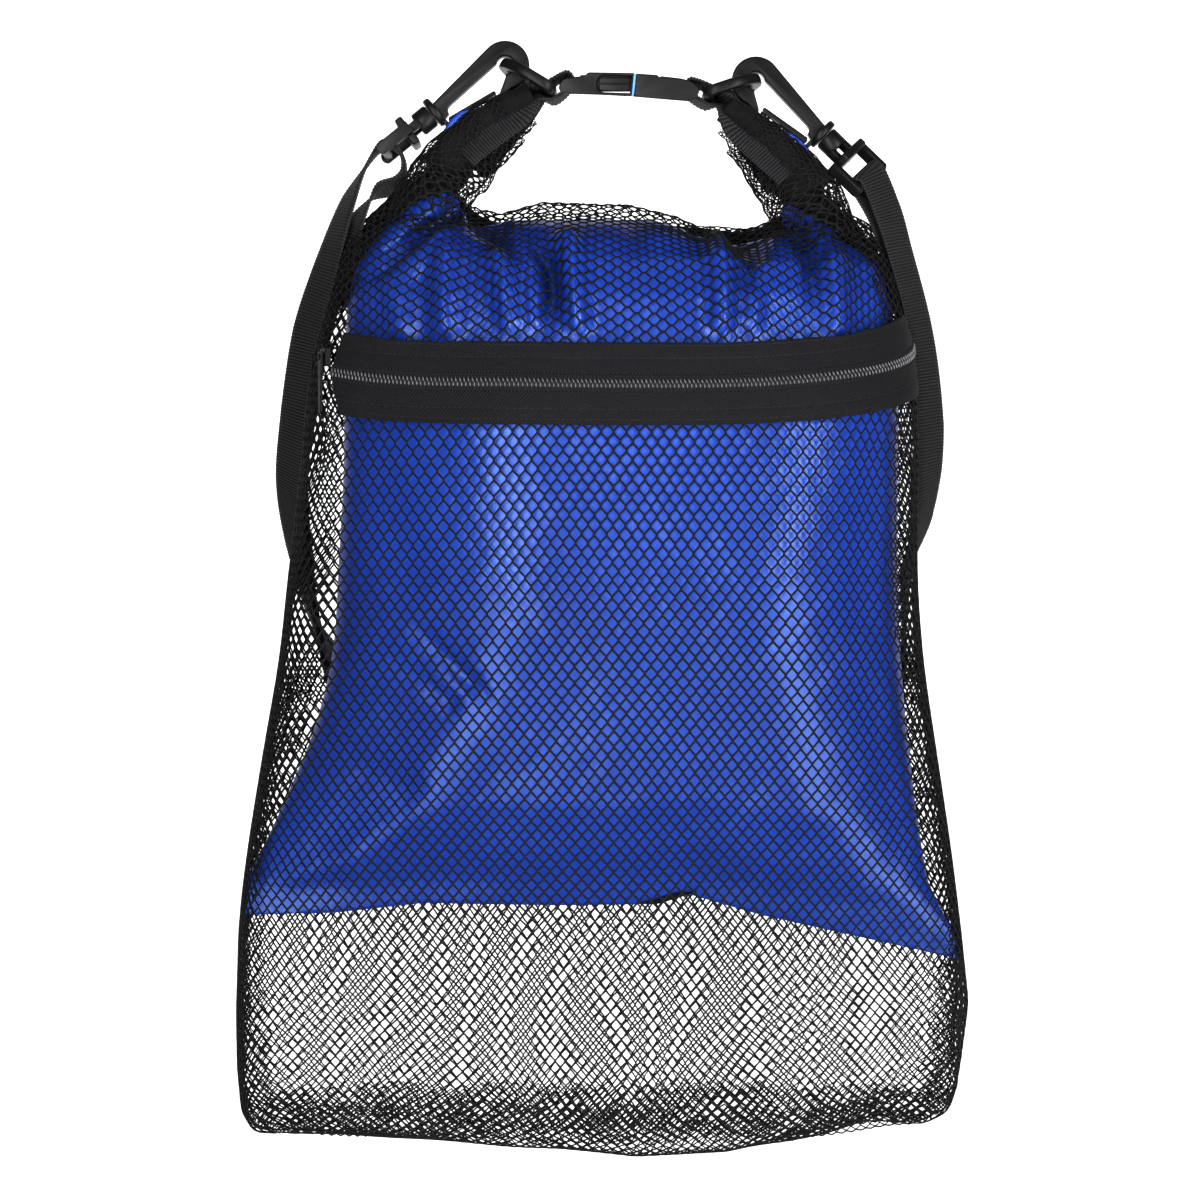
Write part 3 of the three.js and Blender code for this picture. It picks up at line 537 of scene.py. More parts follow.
def total(tree, *terms):
    """Adds up sockets, each times its weight."""
    out = None
    for socket, weight in terms:
        node = add_node(tree, "ShaderNodeMath", operation="MULTIPLY_ADD")
        tree.links.new(socket, node.inputs[0])
        node.inputs[1].default_value = weight
        if out is None:
            node.inputs[2].default_value = 0
        else:
            tree.links.new(out, node.inputs[2])
        out = node.outputs[0]
    return out


def bump(tree, shader, height, strength, distance):
    node = add_node(tree, "ShaderNodeBump", Strength=strength, Distance=distance)
    tree.links.new(height, node.inputs["Height"])
    tree.links.new(node.outputs["Normal"], shader.inputs["Normal"])


def cloth_material():
    """Coated blue cloth: uneven dye, weave, crumples; darker in folds and at the hem as painted shade, and
    its shine cut on top as painted shade.
    """
    material, tree, shader, place = surface("blue_cloth", 0.31, 0.9)
    shader.inputs["Specular Tint"].default_value = (0.34, 0.53, 1, 1)
    broad = noise(tree, place.outputs["Object"], 22)
    dye = ramp(tree, broad, [(0.3, (0.0068, 0.033, 0.325)), (0.7, (0.0085, 0.044, 0.385))])
    # Painted shade: the cloth's occlusion by itself darkens its colour in creases and hollows.
    hollow = add_node(tree, "ShaderNodeAmbientOcclusion", only_local=True, samples=8, Distance=0.016)
    shade = ramp(tree, hollow.outputs["AO"], [(0.4, (0.1, 0.11, 0.13)), (0.93, (1, 1, 1))])
    height = upward(tree, place.outputs["Object"])
    # Painted shade: the colour darkens towards the hem between these heights.
    level = map_range(tree, height, (HEM_SHADE_HEIGHTS[0] * MM, HEM_SHADE_HEIGHTS[1] * MM, 0, 1))
    colour = multiply(tree, multiply(tree, dye, shade), ramp(tree, level, HEM_SHADE_TONES))
    tree.links.new(colour, shader.inputs["Base Color"])
    # Painted shade: less shine where the cloth faces up.
    facing = tree.nodes.new("ShaderNodeNewGeometry")
    gloss_shade = map_range(tree, upward(tree, facing.outputs["Normal"]), TOP_GLOSS_SHADE)
    tree.links.new(gloss_shade, shader.inputs["Specular IOR Level"])
    weave = [bands(tree, place.outputs["UV"], 0.55, turn) for turn in (0, math.pi / 2)]
    crumple = noise(tree, place.outputs["Object"], 190, 4)
    relief = total(tree, (weave[0], 0.06), (weave[1], 0.06), (crumple, 0.5))
    bump(tree, shader, relief, 0.4, 0.0008)
    return material


def thread_material(name, base, roughness, grain):
    """Black yarn: slightly uneven colour and a fibrous surface."""
    material, tree, shader, place = surface(name, roughness, 0.12)
    shader.inputs["Sheen Weight"].default_value = 0.02
    shader.inputs["Sheen Roughness"].default_value = 0.45
    fine = noise(tree, place.outputs["Object"], grain, 4)
    tree.links.new(two_tones(tree, fine, base, 0.6, 1.5), shader.inputs["Base Color"])
    bump(tree, shader, fine, 0.35, 0.0003)
    return material


def woven_material(name, base, scales, turn, contrast):
    """Woven black band: two sets of fine lines on flat coordinates, turned by an angle."""
    material, tree, shader, place = surface(name, 0.72, 0.07)
    shader.inputs["Sheen Weight"].default_value = 0.02
    shader.inputs["Sheen Roughness"].default_value = 0.5
    warp = bands(tree, place.outputs["UV"], scales[0], turn)
    weft = bands(tree, place.outputs["UV"], scales[1], turn + math.pi / 2)
    fine = noise(tree, place.outputs["Object"], 1300, 2)
    mix = total(tree, (warp, 0.3), (weft, 0.25), (fine, 0.45))
    colour = two_tones(tree, mix, base, 1 / contrast, contrast)
    tree.links.new(colour, shader.inputs["Base Color"])
    bump(tree, shader, mix, 0.7, 0.0004)
    return material


def plastic_material(name, base, roughness, specular):
    """Moulded plastic: slightly uneven in colour and shine, with a fine grain."""
    material, tree, shader, place = surface(name, roughness, specular)
    broad = noise(tree, place.outputs["Object"], 120)
    fine = noise(tree, place.outputs["Object"], 2200, 3)
    rough = map_range(tree, broad, (0, 1, roughness - 0.08, roughness + 0.1))
    tree.links.new(rough, shader.inputs["Roughness"])
    tree.links.new(two_tones(tree, broad, base, 0.8, 1.3), shader.inputs["Base Color"])
    bump(tree, shader, fine, 0.12, 0.0002)
    return material


BLUE = cloth_material()
NET = thread_material("net_yarn", (0.0028, 0.0028, 0.0032), 0.6, 900)
ROLLED = thread_material("rolled_net", (0.002, 0.002, 0.0024), 0.85, 420)
THREAD = thread_material("sewing_thread", (0.008, 0.008, 0.009), 0.55, 2500)
WEBBING = woven_material("webbing", (0.0025, 0.0025, 0.0027), (0.235, 0.3), 0, 8)
TAPE = woven_material("zip_tape", (0.0013, 0.0013, 0.0015), (0.32, 0.32), 0.7, 8)
PLASTIC = plastic_material("moulded_plastic", (0.003, 0.003, 0.0034), 0.4, 0.15)
DULL = plastic_material("dull_plastic", (0.002, 0.002, 0.0022), 0.5, 0.08)
PALE_BLUE_LINE = plastic_material("pale_blue_line", (0.08, 0.28, 0.7), 0.4, 0.4)
# Black nylon coil with its colour lifted to grey: painted glints on the teeth.
GLINTING_COIL = plastic_material("nylon_coil_painted_glints", (0.065, 0.065, 0.068), 0.24, 0.45)


# Mesh helpers
def make(name, points, quads, material, tris=None, flat=None, smooth=True):
    """A mesh object from arrays of points in millimetres, quads and triangles."""
    points = np.asarray(points, float) * MM
    corner_lists = [np.asarray(quads, int).reshape(-1, 4)]
    if tris is not None and len(tris):
        corner_lists.append(np.asarray(tris, int).reshape(-1, 3))
    corners = np.concatenate([part.ravel() for part in corner_lists])
    sizes = np.concatenate([np.full(len(part), part.shape[1]) for part in corner_lists])
    starts = np.concatenate([[0], np.cumsum(sizes)[:-1]])
    mesh = bpy.data.meshes.new(name)
    mesh.vertices.add(len(points))
    mesh.vertices.foreach_set("co", points.ravel())
    mesh.loops.add(len(corners))
    mesh.loops.foreach_set("vertex_index", corners)
    mesh.polygons.add(len(sizes))
    mesh.polygons.foreach_set("loop_start", starts)
    mesh.polygons.foreach_set("loop_total", sizes)
    mesh.polygons.foreach_set("use_smooth", np.full(len(sizes), smooth))
    mesh.update(calc_edges=True)
    mesh.validate()
    if flat is not None:
        layer = mesh.uv_layers.new(name="flat")
        layer.data.foreach_set("uv", np.asarray(flat, float)[corners].ravel())
    mesh.materials.append(material)
    return show(name, mesh)


def show(name, mesh):
    """A mesh or curve as an object in the scene."""
    piece = bpy.data.objects.new(name, mesh)
    bpy.context.collection.objects.link(piece)
    return piece


def settle(piece, body, slot, *nodes):
    """Says what a piece moves with and which solids it stands for; slot is not used."""
    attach(piece, body)
    if nodes:
        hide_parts(*nodes)


def ring_quads(rings, size):
    """Quads between closed rings of equal size, one after the other."""
    i, j = np.meshgrid(np.arange(rings - 1), np.arange(size), indexing="ij")
    k = (j + 1) % size
    quads = np.stack([i * size + j, i * size + k, (i + 1) * size + k, (i + 1) * size + j], -1)
    return quads.reshape(-1, 4)


def cap_tris(rings, size, hubs):
    """Fans that close the first and last ring onto two hub points."""
    j = np.arange(size)
    k = (j + 1) % size
    last = (rings - 1) * size
    low = np.stack([k, j, np.full(size, hubs)], -1)
    high = np.stack([last + j, last + k, np.full(size, hubs + 1)], -1)
    return np.concatenate([low, high])


def closed_tube(rings):
    """Points, quads and triangles of a tube through an array of rings."""
    count, size = rings.shape[:2]
    points = np.concatenate([rings.reshape(-1, 3), rings[0].mean(0)[None], rings[-1].mean(0)[None]])
    return points, ring_quads(count, size), cap_tris(count, size, count * size)


def tube(name, rings, material, slot, flat=False):
    """A closed tube through rings as a piece of the bag, with front-view coordinates if flat."""
    points, quads, tris = closed_tube(rings)
    piece = make(name, points, quads, material, tris, points[:, [0, 2]] if flat else None)
    settle(piece, "bag", slot)


def unit(vectors):
    """Vectors made one long."""
    vectors = np.asarray(vectors, float)
    return vectors / np.maximum(np.linalg.norm(vectors, axis=-1, keepdims=True), 1e-9)


def soften(values, passes):
    """Evens out a row of numbers but keeps its ends."""
    values = np.array(values, float)
    for _ in range(passes):
        values[1:-1] = 0.25 * values[:-2] + 0.5 * values[1:-1] + 0.25 * values[2:]
    return values


def circle(size):
    """Even angles all the way round."""
    return np.arange(size) * 2 * math.pi / size


def squared(wave, power):
    """A wave between -1 and 1, squarer or sharper by a power."""
    return np.sign(wave) * np.abs(wave) ** power


def side_by_side(rows, names):
    """Columns of a table as one array."""
    return np.stack([rows[name] for name in names.split()], -1)


def read_at(places, base, vectors):
    """Vectors read part by part at places along a base."""
    return np.stack([np.interp(places, base, vectors[:, k]) for k in range(3)], -1)


def lift(x, rows):
    """Height read from a table of x and lift."""
    return np.interp(x, rows["x"], rows["lift"])


def blend(grid, row, column):
    """Values of a grid at places between its rows and columns."""
    i = np.minimum(row.astype(int), grid.shape[0] - 2)
    j = np.minimum(column.astype(int), grid.shape[1] - 2)
    a = (row - i)[:, None]
    b = (column - j)[:, None]
    low = grid[i, j] * (1 - b) + grid[i, j + 1] * b
    high = grid[i + 1, j] * (1 - b) + grid[i + 1, j + 1] * b
    return low * (1 - a) + high * a


def waves(a, b, seed, size, count=7):
    """Smooth uneven waves of about one unit on flat coordinates."""
    draw = np.random.default_rng(seed)
    out = np.zeros(np.broadcast(a, b).shape)
    for _ in range(count):
        angle = draw.uniform(0, math.pi)
        pitch = size * draw.uniform(0.6, 1.7)
        phase = draw.uniform(0, 2 * math.pi)
        out += np.sin((a * math.cos(angle) + b * math.sin(angle)) * 2 * math.pi / pitch + phase)
    return out / math.sqrt(count)


def fold_rise(folds, x, z):
    """Height of the folds over a smooth front: the highest ridge and the deepest valley at each place."""
    ridges = np.zeros_like(x)
    valleys = np.zeros_like(x)
    for i in range(len(folds["half"])):
        from_x, from_z = folds["from_x"][i], folds["from_z"][i]
        run_x, run_z = folds["to_x"][i] - from_x, folds["to_z"][i] - from_z
        share = ((x - from_x) * run_x + (z - from_z) * run_z) / (run_x**2 + run_z**2)
        share = np.clip(share, 0, 1)
        away = np.hypot(x - from_x - share * run_x, z - from_z - share * run_z) / folds["half"][i]
        rise = folds["from_rise"][i] * (1 - share) + folds["to_rise"][i] * share
        rise = rise * np.exp(-(away**2))
        ridges = np.maximum(ridges, rise)
        valleys = np.minimum(valleys, rise)
    return ridges + valleys


# Bag surfaces
def fine_rows(rows, depth, count, passes):
    """Rows at even lengths along the middle of one side, softened, most of all away from its ends."""
    length = np.concatenate([[0], np.cumsum(np.hypot(np.diff(rows["z"]), np.diff(rows[depth])))])
    at = np.linspace(0, length[-1], count)
    from_end = np.minimum(np.arange(count), count - 1 - np.arange(count)) / count
    inner = np.clip(from_end / END_SHARE - 1, 0, 1)
    fine = {}
    for name, values in rows.items():
        close = soften(np.interp(at, length, values), passes)
        fine[name] = close * (1 - inner) + soften(close, INNER_PASSES) * inner
    fine["along"] = at
    return fine


def shell_normals(points, side):
    """Normals of a grid of points on one side of the bag."""
    across = np.gradient(points, axis=1)
    along = np.gradient(points, axis=0)
    return unit(np.cross(across, along)) * -side


def half_shell(rows, side, inset, count, steps, passes=3, bridged=True):
    """One side of a bag as a grid of points with normals.

    Each row also has its arc length, the part of it left of the middle line and its length up the side."""
    depth = "front" if side < 0 else "back"
    fine = fine_rows(rows, depth, count, passes)
    turn = np.linspace(0, math.pi, 600)
    points = np.zeros((count, steps + 1, 3))
    rises = np.zeros((count, steps + 1))
    arc = np.zeros(count)
    left = np.zeros(count)
    for i in range(count):
        reach = (fine["right"][i] - fine["left"][i]) / 2 - inset
        middle = (fine["right"][i] + fine["left"][i]) / 2
        power = 2 / fine["power"][i]
        deep = max(fine[depth][i] - inset, 0.3)
        x = middle - squared(np.cos(turn), power) * reach
        y = np.abs(np.sin(turn)) ** power * deep
        run = np.concatenate([[0], np.cumsum(np.hypot(np.diff(x), np.diff(y)))])
        even = np.linspace(0, run[-1], steps + 1)
        x_even = np.interp(even, run, x)
        y_even = np.interp(even, run, y)
        z = np.full(steps + 1, fine["z"][i])
        if "hem" in fine:
            top = TOP_CLOTH
            z = z + fine["hem"][i] * (np.interp(x_even, HEM["x"], HEM["z"]) - HEM_LEVEL)
        else:
            top = TOP_NET
            low = np.clip((SAG_FROM - z) / SAG_OVER, 0, 1)
            z = z + low * lift(x_even, SAG)
            z = z + low * lift(x_even, TILT)
        z = z + np.clip((z - TOP_FROM) / TOP_OVER, 0, 1) * lift(x_even, top)
        if side < 0:
            fade = np.clip(y_even / deep, 0, 1) * min(1, deep / FOLD_DEEP)
            rises[i] = fold_rise(FOLDS, x_even, z) * fade
        points[i] = np.stack([x_even, side * y_even, z], -1)
        arc[i] = run[-1]
        left[i] = np.interp(MIDDLE_X, x, run)
    if bridged:
        rises = np.where(rises > 0, rises, BRIDGE * np.expm1(np.minimum(rises, 0) / BRIDGE))
    points = points + shell_normals(points, side) * rises[..., None]
    normals = shell_normals(points, side)
    return {"points": points, "normals": normals, "arc": arc, "left": left, "along": fine["along"]}


def arc_at(shell, t):
    """Arc length at a length up the side, and the part of it left of the middle line."""
    return np.interp(t, shell["along"], shell["arc"]), np.interp(t, shell["along"], shell["left"])


def on_shell(shell, s, t):
    """Points and normals at an arc length from the middle line and a length up the side."""
    count, steps = shell["points"].shape[:2]
    arc, left = arc_at(shell, t)
    row = np.clip(t / shell["along"][-1] * (count - 1), 0, count - 1.001)
    column = np.clip((s + left) / arc * (steps - 1), 0, steps - 1.001)
    return blend(shell["points"], row, column), unit(blend(shell["normals"], row, column))


def honeycomb(columns, rows, across, up, stem):
    """Flat net: node places, and for each mesh its middle and the six nodes round it."""
    i, j = np.meshgrid(np.arange(columns), np.arange(rows), indexing="ij")
    shift = 0.5 * (j % 2)
    middle = np.stack([(i + shift) * across, j * up / 2], -1)
    stem_x = (i + shift - 0.5) * across
    upper = np.stack([stem_x, j * up / 2 + stem], -1)
    lower = np.stack([stem_x, j * up / 2 - stem], -1)
    count = columns * rows
    nodes = np.concatenate([upper.reshape(-1, 2), lower.reshape(-1, 2)])
    index = np.arange(count).reshape(columns, rows)
    meshes = []
    middles = []
    for odd in (0, 1):
        a, b = np.meshgrid(np.arange(columns - 2), np.arange(2 + odd, rows - 2, 2), indexing="ij")
        a, b = a.ravel(), b.ravel()
        top = index[a + odd, b + 1] + count
        bottom = index[a + odd, b - 1]
        ring = [top, index[a + 1, b], index[a + 1, b] + count, bottom, index[a, b] + count, index[a, b]]
        meshes.append(np.stack(ring, -1))
        middles.append(middle[a, b])
    return nodes, np.concatenate(middles), np.concatenate(meshes)


def knit(name, net, place, holes, deep, open_by=1):
    """A net of ridged strands: place maps flat points to points and normals on a surface.

    The net is its nodes, the middles of its meshes and the nodes round each. Holes gives their share of
    a mesh across and up; open_by, one number or one for each mesh, opens or closes them."""
    nodes, middles, meshes = net
    used, meshes = np.unique(meshes, return_inverse=True)
    meshes = meshes.reshape(-1, 6)
    ring = nodes[used][meshes]
    opening = np.broadcast_to(np.asarray(open_by, float), (len(middles),))[:, None, None]
    hole = middles[:, None] + (ring - middles[:, None]) * np.array(holes) * opening
    node_points, node_normals = place(nodes[used])
    hole_points, _ = place(hole.reshape(-1, 2))
    count = len(used)
    points = np.concatenate([
        node_points + node_normals * deep,
        node_points - node_normals * deep,
        hole_points,
    ])
    holes = 2 * count + np.arange(len(hole_points)).reshape(-1, 6)
    quads = []
    for k in range(6):
        n = (k + 1) % 6
        quads.append(np.stack([meshes[:, n], meshes[:, k], holes[:, k], holes[:, n]], -1))
        quads.append(np.stack([meshes[:, k] + count, meshes[:, n] + count, holes[:, n], holes[:, k]], -1))
    pairs = np.concatenate([np.stack([meshes[:, k], meshes[:, (k + 1) % 6]], -1) for k in range(6)])
    key = np.sort(pairs, -1)
    _, first, times = np.unique(key[:, 0] * count + key[:, 1], return_index=True, return_counts=True)
    rim = pairs[first[times == 1]]
    quads.append(np.stack([rim[:, 0], rim[:, 1], rim[:, 1] + count, rim[:, 0] + count], -1))
    return make(name, points, np.concatenate(quads), NET)


def zip_height(share):
    """Height of the zip line at a share of the way across the front, from 0 to 1."""
    place = 2 * share - 1
    rise = np.where(place < 0, ZIP_LEFT_RISE, ZIP_RIGHT_RISE)
    return ZIP_LEVEL + rise * np.abs(place) ** 3.5


def net_panel(name, shell, keep, seed, turned=False, lean=0.0, sink=0.0, slim=1.0, narrow=0.98, tall=1.0):
    """A net over one side of the bag where keep(z, share) says so; turned lays its meshes on their side."""
    height = shell["along"][-1]
    widest = shell["arc"].max()
    if turned:
        across, up = MESH_UP, MESH_ACROSS
        holes = (HOLE_UP, HOLE_ACROSS)
        columns = int(height / MESH_ACROSS) + 8
        rows = int(2 * widest / MESH_UP) + 12
        stem = STEM_HALF
        start = (0.25 * rows * across, 2 * up)
    else:
        across, up = MESH_ACROSS, MESH_UP
        holes = (HOLE_ACROSS, HOLE_UP)
        columns = int(widest / MESH_ACROSS / narrow) + 8
        rows = int(2 * height / SHORTEST_UP) + 12
        stem = np.interp(np.arange(rows) * MESH_UP / 2, STEM_AT, STEM_HALVES)
        start = (0.5 * columns * across, 2 * up)
    nodes, middles, meshes = honeycomb(columns, rows, MESH_ACROSS, MESH_UP, stem)
    if turned:
        nodes, middles = nodes[:, ::-1].copy(), middles[:, ::-1].copy()

    def spread(flat):
        """Flat net to arc length and height on the side, with its uneven stretch."""
        s = flat[:, 0] - start[0]
        t = flat[:, 1] - start[1]
        if not turned:
            t = tall * np.interp(t, SLACK_FLAT, SLACK_UP)
            s = s * np.interp(t, WIDEN_AT, (narrow, 1.0))
        low = np.clip((DRIFT_BELOW - t) / DRIFT_OVER, 0, 1)
        rest, more, size = DRIFT_ALONG
        s = s + lean * (t - LEAN_FROM) + (rest + more * low) * waves(flat[:, 0], flat[:, 1], seed, size)
        rest, more, size = DRIFT_UP
        t = t + (rest + more * low) * waves(flat[:, 0], flat[:, 1], seed + 1, size)
        return s, t

    def place(flat):
        """Flat net to points on the side, loose where the bag is empty."""
        s, t = spread(flat)
        t = np.clip(t, 0, height)
        arc, left = arc_at(shell, t)
        s = np.clip(s, -left, arc - left)
        points, normals = on_shell(shell, s, t)
        low = np.clip((LOOSE_BELOW - points[:, 2]) / LOOSE_BELOW_OVER, 0, 1)
        low = low * np.clip((points[:, 2] - LOOSE_ABOVE) / LOOSE_ABOVE_OVER, 0, 1)
        edge = np.clip(np.minimum(s + left, arc - left - s) / STILL_EDGE, 0, 1)
        wave = (STILL_WAVE + LOOSE_WAVE * low) * edge * waves(s, t * 0.4, seed + 2, LOOSE_SIZE)
        push = wave - sink
        return points + normals * push[:, None], normals

    s, t = spread(middles)
    arc, left = arc_at(shell, t)
    points, _ = on_shell(shell, s, np.clip(t, 0, height))
    inside = (t > 0.3 * up) & (t < height - 0.3 * up)
    inside &= (s > 0.35 * across - left) & (s < arc - left - 0.35 * across)
    inside &= keep(points[:, 2], (s + left) / arc)
    open_by = slim * np.interp(points[inside, 2], OPEN_AT, OPEN_BY)
    piece = knit(name, (nodes, middles[inside], meshes[inside]), place, holes, STRAND_DEEP, open_by)
    settle(piece, "bag", "net")
    return piece


def below_zip(z, share):
    """Where the lower front net is."""
    return z < zip_height(share) - 2


def above_zip(z, share):
    """Where the upper front net is."""
    return z > zip_height(share) + 2


def everywhere(z, share):
    """Where the back net is."""
    return np.full(len(z), True)


def doubled(z, share):
    """Where the net lies double: along its bottom and its sides."""
    edge = np.minimum(share, 1 - share)
    side = np.interp(z, DOUBLE_SIDES["z"], DOUBLE_SIDES["share"])
    return ((z > DOUBLE_BOTTOM[0]) & (z < DOUBLE_BOTTOM[1])) | ((edge < side) & (edge > 0.015))


front_shell = half_shell(NET_ROWS, -1, WALL / 2, 260, 240)
back_shell = half_shell(NET_ROWS, 1, WALL / 2, 260, 240)
lower_net = net_panel("net_front_lower", front_shell, below_zip, 11)
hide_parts("mesh_bag")
net_panel("net_front_upper", front_shell, above_zip, 21, True)
net_panel("net_back", back_shell, everywhere, 31, lean=0.012, slim=1.01, narrow=0.82, tall=1.1)
net_panel("net_seam_front", front_shell, doubled, 51, lean=-0.02, sink=1.3, slim=0.93)
net_panel("net_seam_back", back_shell, doubled, 71, lean=0.03, sink=1.3, slim=0.93)


def side_seam(name, column, side):
    """The rolled seam where the two nets are sewn together down one side."""
    line = front_shell["points"][4:-12:2, column] + np.array([side * SEAM_ROLL / 2, 0, 0])
    turn = circle(8)
    ring = np.stack([np.cos(turn), np.sin(turn), np.zeros(8)], -1) * SEAM_ROLL
    tube(name, line[:, None] + ring[None], ROLLED, "net")


side_seam("seam_left", 0, 1)
side_seam("seam_right", -1, -1)


def cloth_bag():
    """The stuffed blue bag as one closed skin with its folds, creases and flat seam."""
    rows, steps = 166, 180
    front = half_shell(CLOTH_ROWS, -1, 0, rows, steps, 1, False)["points"]
    back = half_shell(CLOTH_ROWS, 1, 0, rows, steps, 1, False)["points"]
    for half in (front, back):
        sag = np.clip((HEM_FORWARD_FROM - half[..., 2]) / (HEM_FORWARD_FROM - HEM_LEVEL), 0, 1)
        half[..., 1] -= HEM_FORWARD * sag
    x, z = front[..., 0], front[..., 2]
    room = np.clip(-front[..., 1] / FOLD_DEEP, 0, 1)
    swell = 0.2 * waves(x, z, 5, 46) + 0.12 * waves(x, z, 6, 15) - 0.4
    front[..., 1] -= room * np.minimum(swell, 0.4)
    x, z = back[..., 0], back[..., 2]
    room = np.clip(back[..., 1] / FOLD_DEEP, 0, 1)
    back[..., 1] += room * np.minimum(0.9 * waves(x, z, 7, 40) - 1.2, 0)
    rings = np.concatenate([front, back[:, steps - 1:0:-1]], axis=1)
    size = rings.shape[1]
    here = np.arange(steps)
    ahead = here + 1
    low = np.stack([here, (size - here) % size, (size - ahead) % size, ahead], -1)
    high = low[:, ::-1] + (rows - 1) * size
    quads = np.concatenate([ring_quads(rows, size), low, high])
    flat = np.stack([np.tile(np.arange(size) * 1.4, rows), np.repeat(np.arange(rows) * 1.7, size)], -1)
    return make("blue_bag", rings.reshape(-1, 3), quads, BLUE, None, flat)


blue_bag = cloth_bag()
settle(blue_bag, "bag", "cloth", "inner_bag")


# Zip band
front_z = front_shell["points"][:, front_shell["points"].shape[1] // 2, 2]


def zip_line(shares, rise, stand):
    """Points and normals along the zip at a height from its middle line and a stand-off from the net."""
    t = np.interp(zip_height(shares) + rise, front_z, front_shell["along"])
    arc, left = arc_at(front_shell, t)
    points, normals = on_shell(front_shell, shares * arc - left, t)
    return points + normals * (stand + WALL / 2), normals


def zip_shares(rise, count):
    """Even steps along the zip at a height from its middle line."""
    first = np.interp(rise, ZIP_ENDS["rise"], ZIP_ENDS["first"])
    last = np.interp(rise, ZIP_ENDS["rise"], ZIP_ENDS["last"])
    return np.linspace(first, last, count)


def zip_tape(name, low, high, node):
    """A slightly wavy tape with a stitched groove, standing just off the net."""
    profile = [(low, TAPE_NEAR), (high, TAPE_NEAR), (high, TAPE_FAR)]
    for rise in np.linspace(high, low, 20)[1:-1]:
        groove = GROOVE_DEEP * math.exp(-((abs(rise) - TAPE_GROOVE) ** 2))
        profile.append((rise, TAPE_FAR - groove))
    profile.append((low, TAPE_FAR))
    rings = []
    for rise, stand in profile:
        shares = zip_shares(rise, ZIP_STEPS)
        wave = 0.25 * waves(shares * 260, np.full(ZIP_STEPS, rise * 2.0), 3, 30)
        points, _ = zip_line(shares, rise, stand)
        points[:, 1] -= wave * min(abs(rise) / 10, 1) * 0.6
        rings.append(points)
    rings = np.stack(rings, 1)
    if high > 0:
        rings = rings[:, ::-1]
    points, quads, tris = closed_tube(rings)
    flat = np.zeros((len(points), 2))
    size = len(profile)
    flat[:ZIP_STEPS * size, 0] = np.repeat(shares * 300, size)
    flat[:ZIP_STEPS * size, 1] = np.tile([rise for rise, _ in profile], ZIP_STEPS)
    settle(make(name, points, quads, TAPE, tris, flat), "bag", "tape", node)


zip_tape("zip_tape_top", ZIP_COIL + GAP, ZIP_TAPE, "zip_tape_upper")
zip_tape("zip_tape_bottom", -ZIP_TAPE, -ZIP_COIL - GAP, "zip_tape_lower")


def beads(name, rows, halves, material):
    """Many small rounded beads in rows of places, directions and normals, each stretched along its own."""
    centres, along, out = (np.concatenate(part) for part in zip(*rows))
    rings, size = 5, 6
    shape = []
    for a in np.linspace(0, math.pi, rings + 2)[1:-1]:
        for b in circle(size):
            shape.append((-math.cos(a), math.sin(a) ** 0.6 * math.cos(b), math.sin(a) ** 0.6 * math.sin(b)))
    shape += [(-1, 0, 0), (1, 0, 0)]
    shape = np.array(shape) * halves
    along = unit(along)
    side = unit(np.cross(out, along))
    up = np.cross(along, side)
    points = centres[:, None] + shape[None, :, :1] * along[:, None] + shape[None, :, 1:2] * side[:, None]
    points = points + shape[None, :, 2:] * up[:, None]
    first = np.arange(len(centres))[:, None, None] * len(shape)
    quads = (ring_quads(rings, size)[None] + first).reshape(-1, 4)
    tris = (cap_tris(rings, size, rings * size)[None] + first).reshape(-1, 3)
    return make(name, points.reshape(-1, 3), quads, material, tris)


def bead_row(rise, count, climb, stand):
    """Places, directions and normals of beads in a row along the zip."""
    shares = zip_shares(rise, count)
    here, normals = zip_line(shares, rise, stand)
    ahead, _ = zip_line(shares + 0.002, rise + climb, stand)
    return here, ahead - here, normals


def zip_teeth():
    """Two staggered rows of coil turns, the cords beside them, the stitches and the bed under them."""
    count = int(ZIP_LONG / TOOTH_PITCH)
    turns = []
    for offset, sign, slant in ((1, 1, 0.0011), (0, -1, -0.0004)):
        shares = zip_shares(0, 2 * count)[offset::2]
        inner, normals = zip_line(shares + slant, 0.0, TAPE_FAR + 0.35)
        outer, _ = zip_line(shares - slant, sign * 1.75, TAPE_FAR + 0.25)
        turns.append(((inner + outer) / 2, outer - inner, normals))
    settle(beads("zip_teeth", turns, (0.95, 0.34, 0.5), GLINTING_COIL), "bag", "coil", "zip_coil")
    cords = [bead_row(rise, int(CORDS_PER_TOOTH * count), 0.25, TAPE_FAR - 0.05) for rise in CORD_RISES]
    settle(beads("zip_cords", cords, (0.7, 0.3, 0.45), THREAD), "bag", "tape")
    stitch_count = int(STITCHED_LONG / STITCH_PITCH)
    stitches = [bead_row(rise, stitch_count, 0, TAPE_FAR - 0.08) for rise in STITCH_RISES]
    settle(beads("zip_stitches", stitches, (0.95, 0.22, 0.2), THREAD), "bag", "tape")
    shares = zip_shares(0, 200)
    corners = ((-3, TAPE_FAR - 0.2), (3, TAPE_FAR - 0.2), (3, TAPE_NEAR), (-3, TAPE_NEAR))
    rings = np.stack([zip_line(shares, rise, stand)[0] for rise, stand in corners], 1)
    tube("zip_bed", rings, THREAD, "tape")


zip_teeth()


# Webbing
def between(first, second, t, start, end):
    """Points on the way from one to another as t runs from start to end."""
    return first + (second - first) * (t - start) / (end - start)


